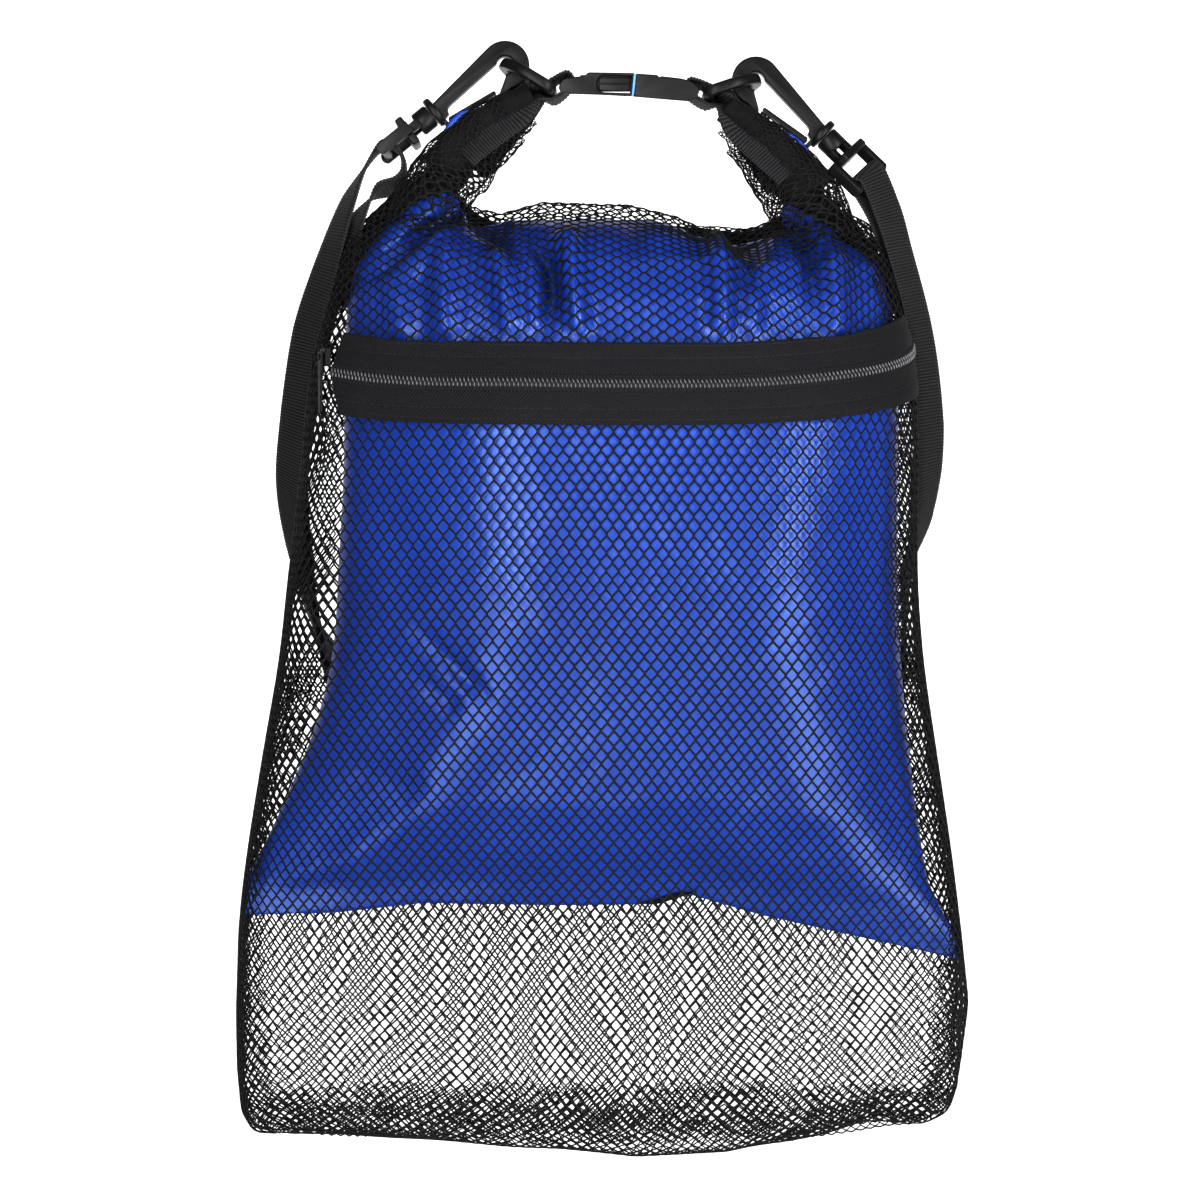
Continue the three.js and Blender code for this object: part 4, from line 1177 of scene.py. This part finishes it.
def through(points, spacing, steps=60):
    """Smooth path through points, at even spacing, with the place of each sample among the points."""
    points = np.asarray(points, float)
    ends = np.concatenate([[2 * points[0] - points[1]], points, [2 * points[-1] - points[-2]]])
    path, places = [], []
    for i in range(1, len(ends) - 2):
        p = ends[i - 1:i + 3]
        k = np.concatenate([[0], np.cumsum(np.sqrt(np.linalg.norm(np.diff(p, axis=0), axis=1)))])
        t = np.linspace(k[1], k[2], steps, endpoint=False)[:, None]
        lines = [between(p[n], p[n + 1], t, k[n], k[n + 1]) for n in range(3)]
        bends = [between(lines[n], lines[n + 1], t, k[n], k[n + 2]) for n in range(2)]
        path.append(between(bends[0], bends[1], t, k[1], k[2]))
        places.append(i - 1 + np.linspace(0, 1, steps, endpoint=False))
    path = np.concatenate(path + [points[-1:]])
    places = np.concatenate(places + [[len(points) - 1]])
    run = np.concatenate([[0], np.cumsum(np.linalg.norm(np.diff(path, axis=0), axis=1))])
    even = np.linspace(0, run[-1], int(run[-1] / spacing))
    return read_at(even, run, path), np.interp(even, run, places), even


def webbing(name, middles, acrosses, node, rib, rise):
    """Ribbed webbing through stations; acrosses gives the direction over its width at each."""
    spots, places, run = through(middles, rib / 4)
    acrosses = unit(acrosses)
    lean = read_at(places, np.arange(len(acrosses)), acrosses)
    along = unit(np.gradient(spots, axis=0))
    across = unit(lean - along * (lean * along).sum(-1, keepdims=True))
    normal = np.cross(across, along)
    half = WEB_WIDTH / 2
    edge = [(-half, 0), (-half + 0.35, -0.8), (-half * 0.6, -1)]
    edge += [(0, -1), (half * 0.6, -1), (half - 0.35, -0.8)]
    edge += [(-wide, -deep) for wide, deep in edge]
    swell = WEB_THICK / 2 + rise * np.array([-1, 0.3, 1, 0.3])[np.arange(len(spots)) % 4]
    rings = [spots + across * wide + normal * (deep * swell)[:, None] for wide, deep in edge]
    points, quads, tris = closed_tube(np.stack(rings, 1))
    size = len(edge)
    flat = np.zeros((len(points), 2))
    flat[:len(spots) * size, 0] = np.repeat(run, size)
    flat[:len(spots) * size, 1] = np.tile([wide for wide, _ in edge], len(spots))
    piece = make(name, points, quads[:, ::-1], WEBBING, tris[:, ::-1], flat)
    settle(piece, "bag", "webbing", node)


def arm_frames(name):
    """Middle, direction, direction across and facing direction at each station of an arm."""
    side = -SIDES[name]
    rows = ARMS[name]
    middles = np.stack([rows["x"], np.zeros(len(rows["x"])), rows["z"]], -1)
    ahead = np.concatenate([middles[:1], middles[:-1]])
    behind = np.concatenate([middles[1:], middles[-1:]])
    along = unit(ahead - behind)
    away = np.stack([-along[:, 2] * side, np.zeros(len(along)), along[:, 0] * side], -1)
    twist = np.radians(rows["twist"])[:, None]
    across = away * np.cos(twist) + FRONT * np.sin(twist)
    normal = FRONT * np.cos(twist) - away * np.sin(twist)
    return middles, along, across, normal


def buckle_bar(name):
    """Middle of the bar at one end of the buckle."""
    bar = Vector((SIDES[name] * BUCKLE_BAR, 0, 0))
    bar.rotate(Matrix.Rotation(BUCKLE_TILT, 3, "Y"))
    return np.array(bar + BUCKLE_MIDDLE)


def tab(name):
    """Webbing sewn along both faces of an arm and looped round the ring and the buckle's bar."""
    middles, along, across, normal = (part[:TAIL_STATIONS] for part in arm_frames(name))
    thick = ARMS[name]["thick"][:TAIL_STATIONS]
    inset = ARMS[name]["inset"][:TAIL_STATIONS]
    stand = GAP + WEB_THICK / 2
    side = -SIDES[name]
    back = middles - across * inset[:, None] - normal * (thick + stand)[:, None]
    lean = np.radians(FRONT_TAIL["lean"])[:, None]
    away = np.cross(FRONT, along) * side
    out = FRONT * np.cos(lean) + away * np.sin(lean)
    front = middles + away * FRONT_TAIL["shift"][:, None]
    front = front + out * (thick + stand + FRONT_TAIL["rise"])[:, None]
    front_across = FRONT * np.sin(lean) - away * np.cos(lean)
    ring = np.array(RINGS[name][0])
    bar = buckle_bar(name)
    onward = unit(bar - ring)
    under = np.array([onward[2] * side, 0, -onward[0] * side])
    over = -under
    turn = BUCKLE_BAR_HALF + stand
    loop = [
        ring + under * (RING_WIRE + stand),
        bar + under * turn,
        bar + unit(under + onward) * (turn + 0.2),
        bar + onward * turn,
        bar + unit(over + onward) * (turn + 0.2),
        bar + over * turn,
        ring + over * (RING_WIRE + stand),
    ]
    spots = [*front[::-1], *loop, *back]
    loop_across = [FRONT] * len(loop)
    directions = [*front_across[::-1], *loop_across, *across]
    webbing(f"handle_webbing_{name}", spots, directions, f"tab_{name}", TAB_RIB_PITCH, TAB_RIB_RISE)


def hook_matrix(name):
    """Frame of a hook in millimetres: along to its crook, across to its gate, from its collar."""
    points = HOOKS[name]["points"]
    turn = math.radians(HOOKS[name]["angle"])
    along = Vector((math.cos(turn) * points, 0, math.sin(turn)))
    across = Vector((math.sin(turn) * points, 0, -math.cos(turn)))
    normal = along.cross(across)
    collar = RINGS[name][1] - along * CROOK_ALONG - across * CROOK_ACROSS
    matrix = Matrix((along, across, normal)).transposed().to_4x4()
    matrix.translation = collar
    return matrix


def bar_turn(name, radius):
    """Stations of webbing round a hook's strap bar."""
    matrix = hook_matrix(name)
    turn = math.radians(HOOKS[name]["swivel"])
    spin = matrix.to_3x3()
    face = np.array(spin @ Vector((0, -math.cos(turn), -math.sin(turn))))
    wide = np.array(spin @ Vector((0, -math.sin(turn), math.cos(turn))))
    into = np.array(spin @ Vector((1, 0, 0)))
    if wide[1] < 0:
        wide = -wide
    bar = np.array(matrix @ Vector((STRAP_BAR_ALONG, 0, 0)))
    ways = [face, unit(face + into), into, unit(into - face), -face]
    return [bar + way * radius for way in ways], [wide] * len(ways)


def shoulder_strap():
    """One length from its doubled end up through the left hook, round behind the bag to the right hook."""
    slack, run, tail = (side_by_side(rows, "x y z") for rows in (STRAP_SLACK, STRAP_RUN, STRAP_TAIL))
    slack_over, over, tail_over = (
        side_by_side(rows, "over_x over_y over_z") for rows in (STRAP_SLACK, STRAP_RUN, STRAP_TAIL)
    )
    doubled_spots = []
    for i in range(DOUBLED_LAST, DOUBLED_FIRST - 1, -1):
        along = unit(run[i + 1] - run[i - 1])
        across = unit(over[i] - along * over[i].dot(along))
        beside = np.interp(i - DOUBLED_FIRST, (0, 1, 2, 3), (*DOUBLED_SHOWS, 0))
        doubled_spots.append(run[i] - np.cross(across, along) * DOUBLED_APART + np.array([beside, 0, 0]))
    doubled_over = over[DOUBLED_FIRST:DOUBLED_LAST + 1][::-1]
    radius = STRAP_BAR_RADIUS + GAP + WEB_THICK / 2
    left, left_over = bar_turn("left", radius)
    right, right_over = bar_turn("right", radius)
    spots = [*doubled_spots, *slack, *left[2::-1], *run, *right, *tail]
    directions = [*doubled_over, *slack_over, *left_over[2::-1], *over, *right_over, *tail_over]
    webbing("strap_webbing", spots, directions, "shoulder_strap", RIB_PITCH, RIB_RISE)


shoulder_strap()
for side_name in SIDES:
    tab(side_name)


# Rolled and bunched net
def arm_rings(name, first, last, count, size, shrink, shift):
    """Rings along an arm between two stations, drawn in by shrink and moved outward by shift."""
    middles, _, across, normal = arm_frames(name)
    rows = ARMS[name]
    at = np.linspace(first, last, count)
    base = np.arange(len(middles))
    middle = read_at(at, base, middles)
    across = unit(read_at(at, base, across))
    normal = unit(read_at(at, base, normal))
    shrink = shrink + np.interp(at, ARM_DRAWN_AT, (0, ARM_DRAWN_IN))
    half = np.interp(at, base, rows["half"]) - shrink - abs(shift)
    thick = np.maximum(np.interp(at, base, rows["thick"]) - shrink, 0.8)
    wide = squared(np.cos(circle(size)), 0.7)
    deep = squared(np.sin(circle(size)), 0.7)
    rings = middle[:, None] + across[:, None] * (wide[None] * half[:, None] + shift)[..., None]
    return rings + normal[:, None] * (deep[None] * thick[:, None])[..., None]


def tube_net(name, rings, across, up, seed, loose):
    """A net drawn round a tube of rings, its meshes gathered to the given size."""
    count, size = rings.shape[:2]
    closed = np.concatenate([rings, rings[:, :1]], axis=1)
    length = np.linalg.norm(np.diff(rings.mean(1), axis=0), axis=1).sum()
    girth = np.linalg.norm(np.diff(closed, axis=1), axis=-1).sum(1).mean()
    columns = int(round(girth / across))
    rows = int(2 * length / up) + 8
    nodes, middles, meshes = honeycomb(columns + 3, rows, 1 / columns, up / length, 0.12 * up / length)
    away = closed - closed[:, :-1].mean(1, keepdims=True)

    def place(flat):
        """Flat net to points round the tube."""
        u = flat[:, 0] + 0.3 / columns * waves(flat[:, 0] * 40, flat[:, 1] * 60, seed, 12)
        row = np.clip(flat[:, 1] - up / length, 0, 1) * (count - 1)
        column = np.mod(u, 1) * size
        out = unit(blend(away, row, column))
        push = loose * waves(flat[:, 0] * 30, flat[:, 1] * 50, seed + 1, 9)
        return blend(closed, row, column) + out * push[:, None], out

    inside = (middles[:, 0] > 0.4 / columns) & (middles[:, 0] < 1 + 0.6 / columns)
    inside &= (middles[:, 1] > 1.2 * up / length) & (middles[:, 1] < 1 + 0.8 * up / length)
    piece = knit(name, (nodes, middles[inside], meshes[inside]), place, (0.78, 0.8), 0.3)
    settle(piece, "bag", "net")


def lumpy_core(name, rings, lumps, base, depth):
    """The dense inside of rolled net: a tube drawn in to a share of its rings, with lumps."""
    middle = rings.mean(1, keepdims=True)
    tube(name, middle + (rings - middle) * (base + depth * lumps[..., None]), ROLLED, "net")


def blue_corner(name, seed):
    """A corner of the blue bag drawn up into an arm."""
    rows = CORNERS[name]
    count, size = 40, 48
    at = np.linspace(0, len(rows["x"]) - 1, count)
    fine = {}
    for key, values in rows.items():
        fine[key] = soften(np.interp(at, np.arange(len(values)), values), 3)[:, None]
    turn = circle(size)[None]
    lumps = 1 + 0.07 * waves(np.arange(count)[:, None] * 0.6, turn * 9, seed, 16)
    rings = np.stack([
        fine["x"] + lumps * np.cos(turn) * fine["half"],
        lumps * np.sin(turn) * fine["deep"],
        fine["z"] + np.zeros((1, size)),
    ], -1)
    front = np.clip(-np.sin(turn), 0, 1) * np.clip(fine["deep"] / 14, 0, 1)
    rings[..., 1] -= front * fold_rise(FOLDS, rings[..., 0], rings[..., 2])
    tube(f"blue_corner_{name}", rings, BLUE, "cloth", True)


def rolled_arm(name, seed):
    """One arm of the roll-top: rolled core, blue corner inside and two layers of net."""
    count, size = 40, 28
    core = arm_rings(name, 0, 3.7, count, size, shrink=-1.8, shift=4.2)
    lumps = waves(np.arange(count)[:, None] * 3.0, np.arange(size)[None] * 2.0, seed, 22)
    lumpy_core(f"rolled_mouth_{name}", core, lumps, 0.95, 0.05)
    blue_corner(name, seed + 1)
    outer = arm_rings(name, 1.1, 4.9, 60, 36, shrink=-2.4, shift=0)
    tube_net(f"net_arm_{name}", outer, 4.0, 4.8, seed + 3, 0.5)
    under = arm_rings(name, 0.3, 4.4, 60, 36, shrink=-0.4, shift=0)
    tube_net(f"net_arm_under_{name}", under, 3.6, 4.2, seed + 7, 0.6)


rolled_arm("left", 41)
rolled_arm("right", 61)


def flat_path(rows, y, spacing):
    """Smooth path at one depth through a table, the place of each sample in it, and the way across."""
    points = np.stack([rows["x"], np.full(len(rows["x"]), float(y)), rows["z"]], -1)
    spots, places, _ = through(points, spacing)
    along = unit(np.gradient(spots, axis=0))
    across = np.stack([-along[:, 2], np.zeros(len(along)), along[:, 0]], -1)
    return spots, places, across


def side_roll(name, seed):
    """Bunched net from an arm down the side of the bag."""
    rows = SIDE_ROLLS[name]
    spots, places, across = flat_path(rows, 0, 2)
    base = np.arange(len(rows["x"]))
    half = np.interp(places, base, rows["half"])[:, None]
    deep = np.interp(places, base, rows["deep"])[:, None]
    size = 28
    turn = circle(size)[None]
    rings = spots[:, None] + across[:, None] * (np.cos(turn) * half)[..., None]
    rings = rings - FRONT * (np.sin(turn) * deep)[..., None]
    lumps = waves(np.arange(len(spots))[:, None] * 2.0, np.arange(size)[None] * 2.0, seed, 18)
    lumpy_core(f"side_roll_{name}", rings, lumps, 0.86, 0.07)
    tube_net(f"net_side_{name}", rings, 3.8, 4.6, seed + 2, 0.7)


side_roll("left", 91)
side_roll("right", 95)


def sliver(name, y, material):
    """A thin lens-shaped strip that shows at one depth."""
    rows = SLIVERS[name]
    spots, places, across = flat_path(rows, y, 0.7)
    half = np.interp(places, np.arange(len(rows["x"])), rows["half"])
    rings = []
    for wide, deep in ((-1, 0), (-0.6, -1), (0, -1.6), (0.6, -1), (1, 0), (0, 1)):
        rings.append(spots + across * (wide * half)[:, None] - FRONT * deep * SLIVER_THICK)
    tube(name, np.stack(rings, 1), material, "cloth", True)


sliver("blue_flap_left", -4, BLUE)
sliver("blue_flap_right", -4, BLUE)
# Painted shadow: a dark strip in the opening between the hem's layers.
sliver("hem_gap_shadow", -12.6, ROLLED)


def rolled_mouth():
    """The mouth rolled down behind the top."""
    spots, _, _ = through(side_by_side(ROLL, "x y z"), 3)
    size = 30
    turn = circle(size)
    tall = np.sin(turn) * (ROLL_HALF - ROLL_DROP) - ROLL_DROP
    rings = spots[:, None] + np.stack([np.zeros(size), np.cos(turn) * ROLL_THICK, tall], -1)[None]
    lumps = waves(np.arange(len(spots))[:, None] * 3.0, turn[None] * 6, 81, 26)
    lumpy_core("rolled_mouth_back", rings, lumps, 0.88, 0.06)
    tube_net("net_roll", rings, 4.6, 5.0, 85, 0.5)


rolled_mouth()


# Moulded pieces
def moulded(name, node, voxel, passes, material):
    """A solid with its edges rounded as a moulding has them."""
    piece = show(name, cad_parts[node].data.copy())
    remesh = piece.modifiers.new("round", "REMESH")
    remesh.mode = "VOXEL"
    remesh.voxel_size = voxel * MM
    remesh.use_smooth_shade = True
    smooth = piece.modifiers.new("smooth", "SMOOTH")
    smooth.factor = 0.5
    smooth.iterations = passes
    bpy.context.view_layer.update()
    mesh = bpy.data.meshes.new_from_object(piece.evaluated_get(bpy.context.evaluated_depsgraph_get()))
    piece.modifiers.clear()
    piece.data = mesh
    mesh.materials.clear()
    mesh.materials.append(material)
    settle(piece, "bag", "plastic", node)
    return mesh


def plate(outline, thick, bevel, holes=()):
    """A flat mould from an outline, with rounded rims."""
    curve = bpy.data.curves.new("outline", "CURVE")
    curve.dimensions = "2D"
    curve.fill_mode = "BOTH"
    for loop in (outline, *holes):
        spline = curve.splines.new("POLY")
        spline.points.add(len(loop) - 1)
        for point, (x, y) in zip(spline.points, loop):
            point.co = (x, y, 0, 1)
        spline.use_cyclic_u = True
    curve.extrude = thick / 2 - bevel
    curve.bevel_depth = bevel
    curve.bevel_resolution = 2
    curve.offset = -bevel
    carrier = show("outline", curve)
    bpy.context.view_layer.update()
    mesh = bpy.data.meshes.new_from_object(carrier.evaluated_get(bpy.context.evaluated_depsgraph_get()))
    bpy.data.objects.remove(carrier)
    return mesh


def turned(profile, steps=40):
    """A body turned about the x axis from pairs of place and radius."""
    turn = circle(steps)
    rings = [np.stack([np.full(steps, x), r * np.cos(turn), r * np.sin(turn)], -1) for x, r in profile]
    points, quads, tris = closed_tube(np.stack(rings))
    mesh = bpy.data.meshes.new("turned")
    mesh.from_pydata(points.tolist(), [], quads.tolist() + tris.tolist())
    return mesh


def round_post(start, end, radius, edge):
    """A post along the x axis with rounded rims."""
    return turned([
        (start, radius - edge), (start + 0.3 * edge, radius - 0.3 * edge), (start + edge, radius),
        (end - edge, radius), (end - 0.3 * edge, radius - 0.3 * edge), (end, radius - edge),
    ])


def block(low, high, bevel):
    """A box with rounded edges between two corners."""
    shape = bmesh.new()
    bmesh.ops.create_cube(shape, size=1)
    low, high = Vector(low), Vector(high)
    size = high - low
    for vertex in shape.verts:
        vertex.co = Vector(a * b for a, b in zip(vertex.co, size)) + (low + high) / 2
    bmesh.ops.bevel(shape, geom=shape.edges[:], offset=bevel, segments=3, profile=0.5, affect="EDGES")
    mesh = bpy.data.meshes.new("block")
    shape.to_mesh(mesh)
    shape.free()
    return mesh


def gather(name, parts, matrix, material):
    """One piece from several meshes in millimetres, placed by a matrix."""
    shape = bmesh.new()
    for mesh in parts:
        shape.from_mesh(mesh)
        bpy.data.meshes.remove(mesh)
    bmesh.ops.remove_doubles(shape, verts=shape.verts[:], dist=1e-4)
    bmesh.ops.recalc_face_normals(shape, faces=shape.faces[:])
    shape.transform(Matrix.Scale(MM, 4) @ matrix)
    mesh = bpy.data.meshes.new(name)
    shape.to_mesh(mesh)
    shape.free()
    mesh.polygons.foreach_set("use_smooth", np.ones(len(mesh.polygons), bool))
    mesh.set_sharp_from_angle(angle=math.radians(38))
    mesh.materials.append(material)
    return show(name, mesh)


def arc(x, y, radius, start, end, count):
    """Points on an arc between two angles."""
    angles = np.linspace(start, end, count)
    return [(x + radius * math.cos(a), y + radius * math.sin(a)) for a in angles]


def hook_body(name):
    """Crook, shank and collar of a snap hook."""
    outline = [(1.2, -3)]
    outline += arc(CROOK_ALONG, CROOK_ACROSS, CROOK_OUTER, -1.68, 1.95, 40)
    outline += [(29, 13.2), (26.4, 13), (25.5, 12.6), (25.6, 11.8), (26.4, 11.1), (32.2, 7.6)]
    outline += arc(CROOK_ALONG, CROOK_ACROSS, CROOK_INNER, 2.2, -2.3, 24)
    outline += [(7, 1.9), (5.4, 2.3), (4.5, 3.3), (4.3, 4.4), (1.8, 5), (1.8, 8.6), (0, 8.6), (0, -3)]
    parts = [plate(outline, HOOK_THICK, 0.8), round_post(-1.5, 1.4, 6.7, 0.7)]
    piece = gather(f"snap_hook_{name}", parts, hook_matrix(name), PLASTIC)
    settle(piece, "bag", "plastic", f"hook_{name}")


def hook_gate(name):
    """The sprung tongue of a snap hook."""
    outline = arc(GATE_ALONG, GATE_ACROSS, GATE_RADIUS, 0.5 * math.pi, 1.62 * math.pi, 10)
    outline += [(24.6, 8.9), (25.0, 9.3), (25.1, 9.8), (24.6, 10.6)]
    piece = gather(f"snap_gate_{name}", [plate(outline, HOOK_THICK - 1, 0.35)], hook_matrix(name), PLASTIC)
    settle(piece, f"{name}_gate", "plastic", f"gate_{name}")


def hook_swivel(name):
    """Stem, yoke and strap bar below a snap hook."""
    parts = [round_post(-9, -1.9, 5.2, 0.8), block((-16, -6.5, -9), (-12.5, 6.5, 9), 0.9)]
    bar = round_post(-13, 13, STRAP_BAR_RADIUS, 0.4)
    spin = Matrix.Translation((STRAP_BAR_ALONG, 0, 0)) @ Matrix.Rotation(math.pi / 2, 4, "Y")
    bar.transform(spin)
    parts.append(bar)
    for side in (-1, 1):
        parts.append(block((-13.2, -2, side * 5 - 1.5), (-7.8, 2, side * 5 + 1.5), 0.5))
        reach = [(-12.5, -2.6), (-12.5, 2.6), (-26, 2.6)]
        reach += arc(-26.5, 0, 2.9, 2.0, 4.28, 10) + [(-26, -2.6)]
        arm = plate(reach, 3, 0.5)
        arm.transform(Matrix.Translation((0, 0, side * 12)))
        parts.append(arm)
        low, high = sorted((side * 8, side * 13))
        parts.append(block((-16, -2.6, low), (-12.5, 2.6, high), 0.5))
    turn = Matrix.Rotation(math.radians(HOOKS[name]["swivel"]), 4, "X")
    piece = gather(f"snap_swivel_{name}", parts, hook_matrix(name) @ turn, PLASTIC)
    settle(piece, "bag", "plastic", f"swivel_{name}")


def d_ring(name):
    """A moulded ring: straight bar below, bow above, of rounded square section."""
    bar, top = RINGS[name]
    rise = top - bar
    height = rise.length
    rise.normalize()
    bow = 0.42 * height
    corner = [(0.95, 0.03), (0.99, 0.1), (1, 0.2)]
    outline = [(y * RING_HALF, 0) for y in np.linspace(-0.86, 0.86, 12)]
    outline += [(y * RING_HALF, up * height) for y, up in corner]
    for turn in np.linspace(0, math.pi, 32):
        outline.append((math.cos(turn) * RING_HALF, bow + math.sin(turn) * (height - bow)))
    outline += [(-y * RING_HALF, up * height) for y, up in corner[::-1]]
    flat = np.array(rise.cross(Vector((0, 1, 0))))
    spots = np.array([Vector((0, y, 0)) + bar + rise * up for y, up in outline])
    along = unit(np.roll(spots, -1, 0) - np.roll(spots, 1, 0))
    across = unit(np.cross(along, flat))
    size = 14
    wide = squared(np.cos(circle(size)), 0.45) * RING_WIRE
    deep = squared(np.sin(circle(size)), 0.45) * RING_WIRE
    rings = spots[:, None] + across[:, None] * wide[None, :, None] + flat * deep[None, :, None]
    count = len(rings)
    quads = ring_quads(count + 1, size) % (count * size)
    piece = make(f"plastic_ring_{name}", rings.reshape(-1, 3), quads, PLASTIC)
    settle(piece, "bag", "plastic", f"ring_{name}")


def sideways(mesh, y):
    """Stands a flat mesh up to face the front at a depth."""
    mesh.transform(Matrix.Translation((0, y, 0)) @ Matrix.Rotation(math.pi / 2, 4, "X"))
    return mesh


def buckle():
    """Side-release buckle: cheeks front and back, body between, bars for the webbing at both ends."""
    roll = Matrix.Translation(BUCKLE_MIDDLE) @ Matrix.Rotation(math.radians(BUCKLE_ROLL), 4, "X")
    roll = roll @ Matrix.Translation(-BUCKLE_MIDDLE)
    halves = {
        "socket": ("buckle_female", SOCKET, [WINDOW], [((-20.5, -10.4, 2.2), (0.9, 10.4, 9.0))]),
        "plug": ("buckle_male", PLUG, [], [
            ((2.9, -10.4, 0.6), (21, 10.4, 7.6)), ((-12.6, -11.4, 2.6), (2.5, 11.4, 7.9)),
            ((-12.2, -12, 5.0), (0.6, 12, 5.8)),
        ]),
    }
    for name, (node, outline, holes, blocks) in halves.items():
        parts = [block(low, high, 0.4) for low, high in blocks]
        for side in (-1, 1):
            parts.append(sideways(plate(outline, CHEEK, 0.55, holes), side * (BUCKLE_HALF - CHEEK / 2)))
        bar = round_post(-10.5, 10.5, BUCKLE_BAR_HALF, 0.2)
        centre = buckle_bar("left" if name == "socket" else "right")
        bar.transform(Matrix.Translation(centre) @ Matrix.Rotation(math.pi / 2, 4, "Z"))
        parts.append(bar)
        piece = gather(f"buckle_{name}", parts, roll, PLASTIC)
        settle(piece, "bag", "plastic", node)
    seam = sideways(plate(PALE_SEAM, 2 * BUCKLE_HALF - 0.8, 0.1), 0)
    settle(gather("buckle_seam", [seam], roll, PALE_BLUE_LINE), "bag", "plastic")


buckle()
moulded("strap_slide", "strap_slider", 0.5, 3, PLASTIC)
zip_runner = moulded("zip_runner", "zip_slider", 0.3, 4, DULL)
zip_tag = moulded("zip_tag", "zip_pull", 0.22, 2, DULL)
for zip_mesh in (zip_runner, zip_tag):
    zip_mesh.transform(Matrix.Translation(Vector(ZIP_SHIFT) * MM))
for side_name in SIDES:
    hook_body(side_name)
    hook_gate(side_name)
    hook_swivel(side_name)
    d_ring(side_name)


# Studio
def add_object(name, data, where, turn):
    """An object for a light or a camera."""
    holder = bpy.data.objects.new(name, data)
    holder.location = where
    holder.rotation_euler = turn
    bpy.context.collection.objects.link(holder)
    return holder


def studio():
    """Pale floor that sweeps up into a backdrop, soft lights and the camera in front."""
    bend = PAPER_BACK - SWEEP_RADIUS
    profile = [(PAPER_FRONT, FLOOR_Z), (bend, FLOOR_Z)]
    for turn in np.linspace(0, math.pi / 2, 16)[1:]:
        climb = SWEEP_RADIUS - SWEEP_RADIUS * math.cos(turn)
        profile.append((bend + SWEEP_RADIUS * math.sin(turn), FLOOR_Z + climb))
    profile.append((PAPER_BACK, PAPER_TOP))
    points = [(x, y, z) for y, z in profile for x in (-PAPER_HALF, PAPER_HALF)]
    quads = [(2 * i, 2 * i + 1, 2 * i + 3, 2 * i + 2) for i in range(len(profile) - 1)]
    material, _, shader, _ = surface("pale_paper", 0.9, 0.1)
    shader.inputs["Base Color"].default_value = (0.9, 0.9, 0.9, 1)
    shader.inputs["Emission Color"].default_value = (1, 1, 1, 1)
    shader.inputs["Emission Strength"].default_value = 0.85
    sweep = make("sweep", points, quads, material)

    world = bpy.data.worlds.new("studio")
    world.use_nodes = True
    background = world.node_tree.nodes["Background"]
    background.inputs["Color"].default_value = (1, 1, 1, 1)
    background.inputs["Strength"].default_value = 0.15
    bpy.context.scene.world = world

    for i, power in enumerate(LIGHTS["power"]):
        light = bpy.data.lights.new("soft_light", "AREA")
        light.shape = "RECTANGLE"
        light.size = LIGHTS["wide"][i]
        light.size_y = LIGHTS["tall"][i]
        light.energy = power
        where = Vector((LIGHTS["x"][i], LIGHTS["y"][i], LIGHTS["z"][i]))
        add_object("soft_light", light, where, (LIGHT_AIM - where).to_track_quat("-Z", "Y").to_euler())

    camera = bpy.data.cameras.new("camera")
    camera.sensor_width = SENSOR
    camera.lens = SENSOR * abs(CAMERA_AT[1]) / VIEW_WIDE
    bpy.context.scene.camera = add_object("camera", camera, CAMERA_AT, (math.pi / 2, 0, 0))


studio()
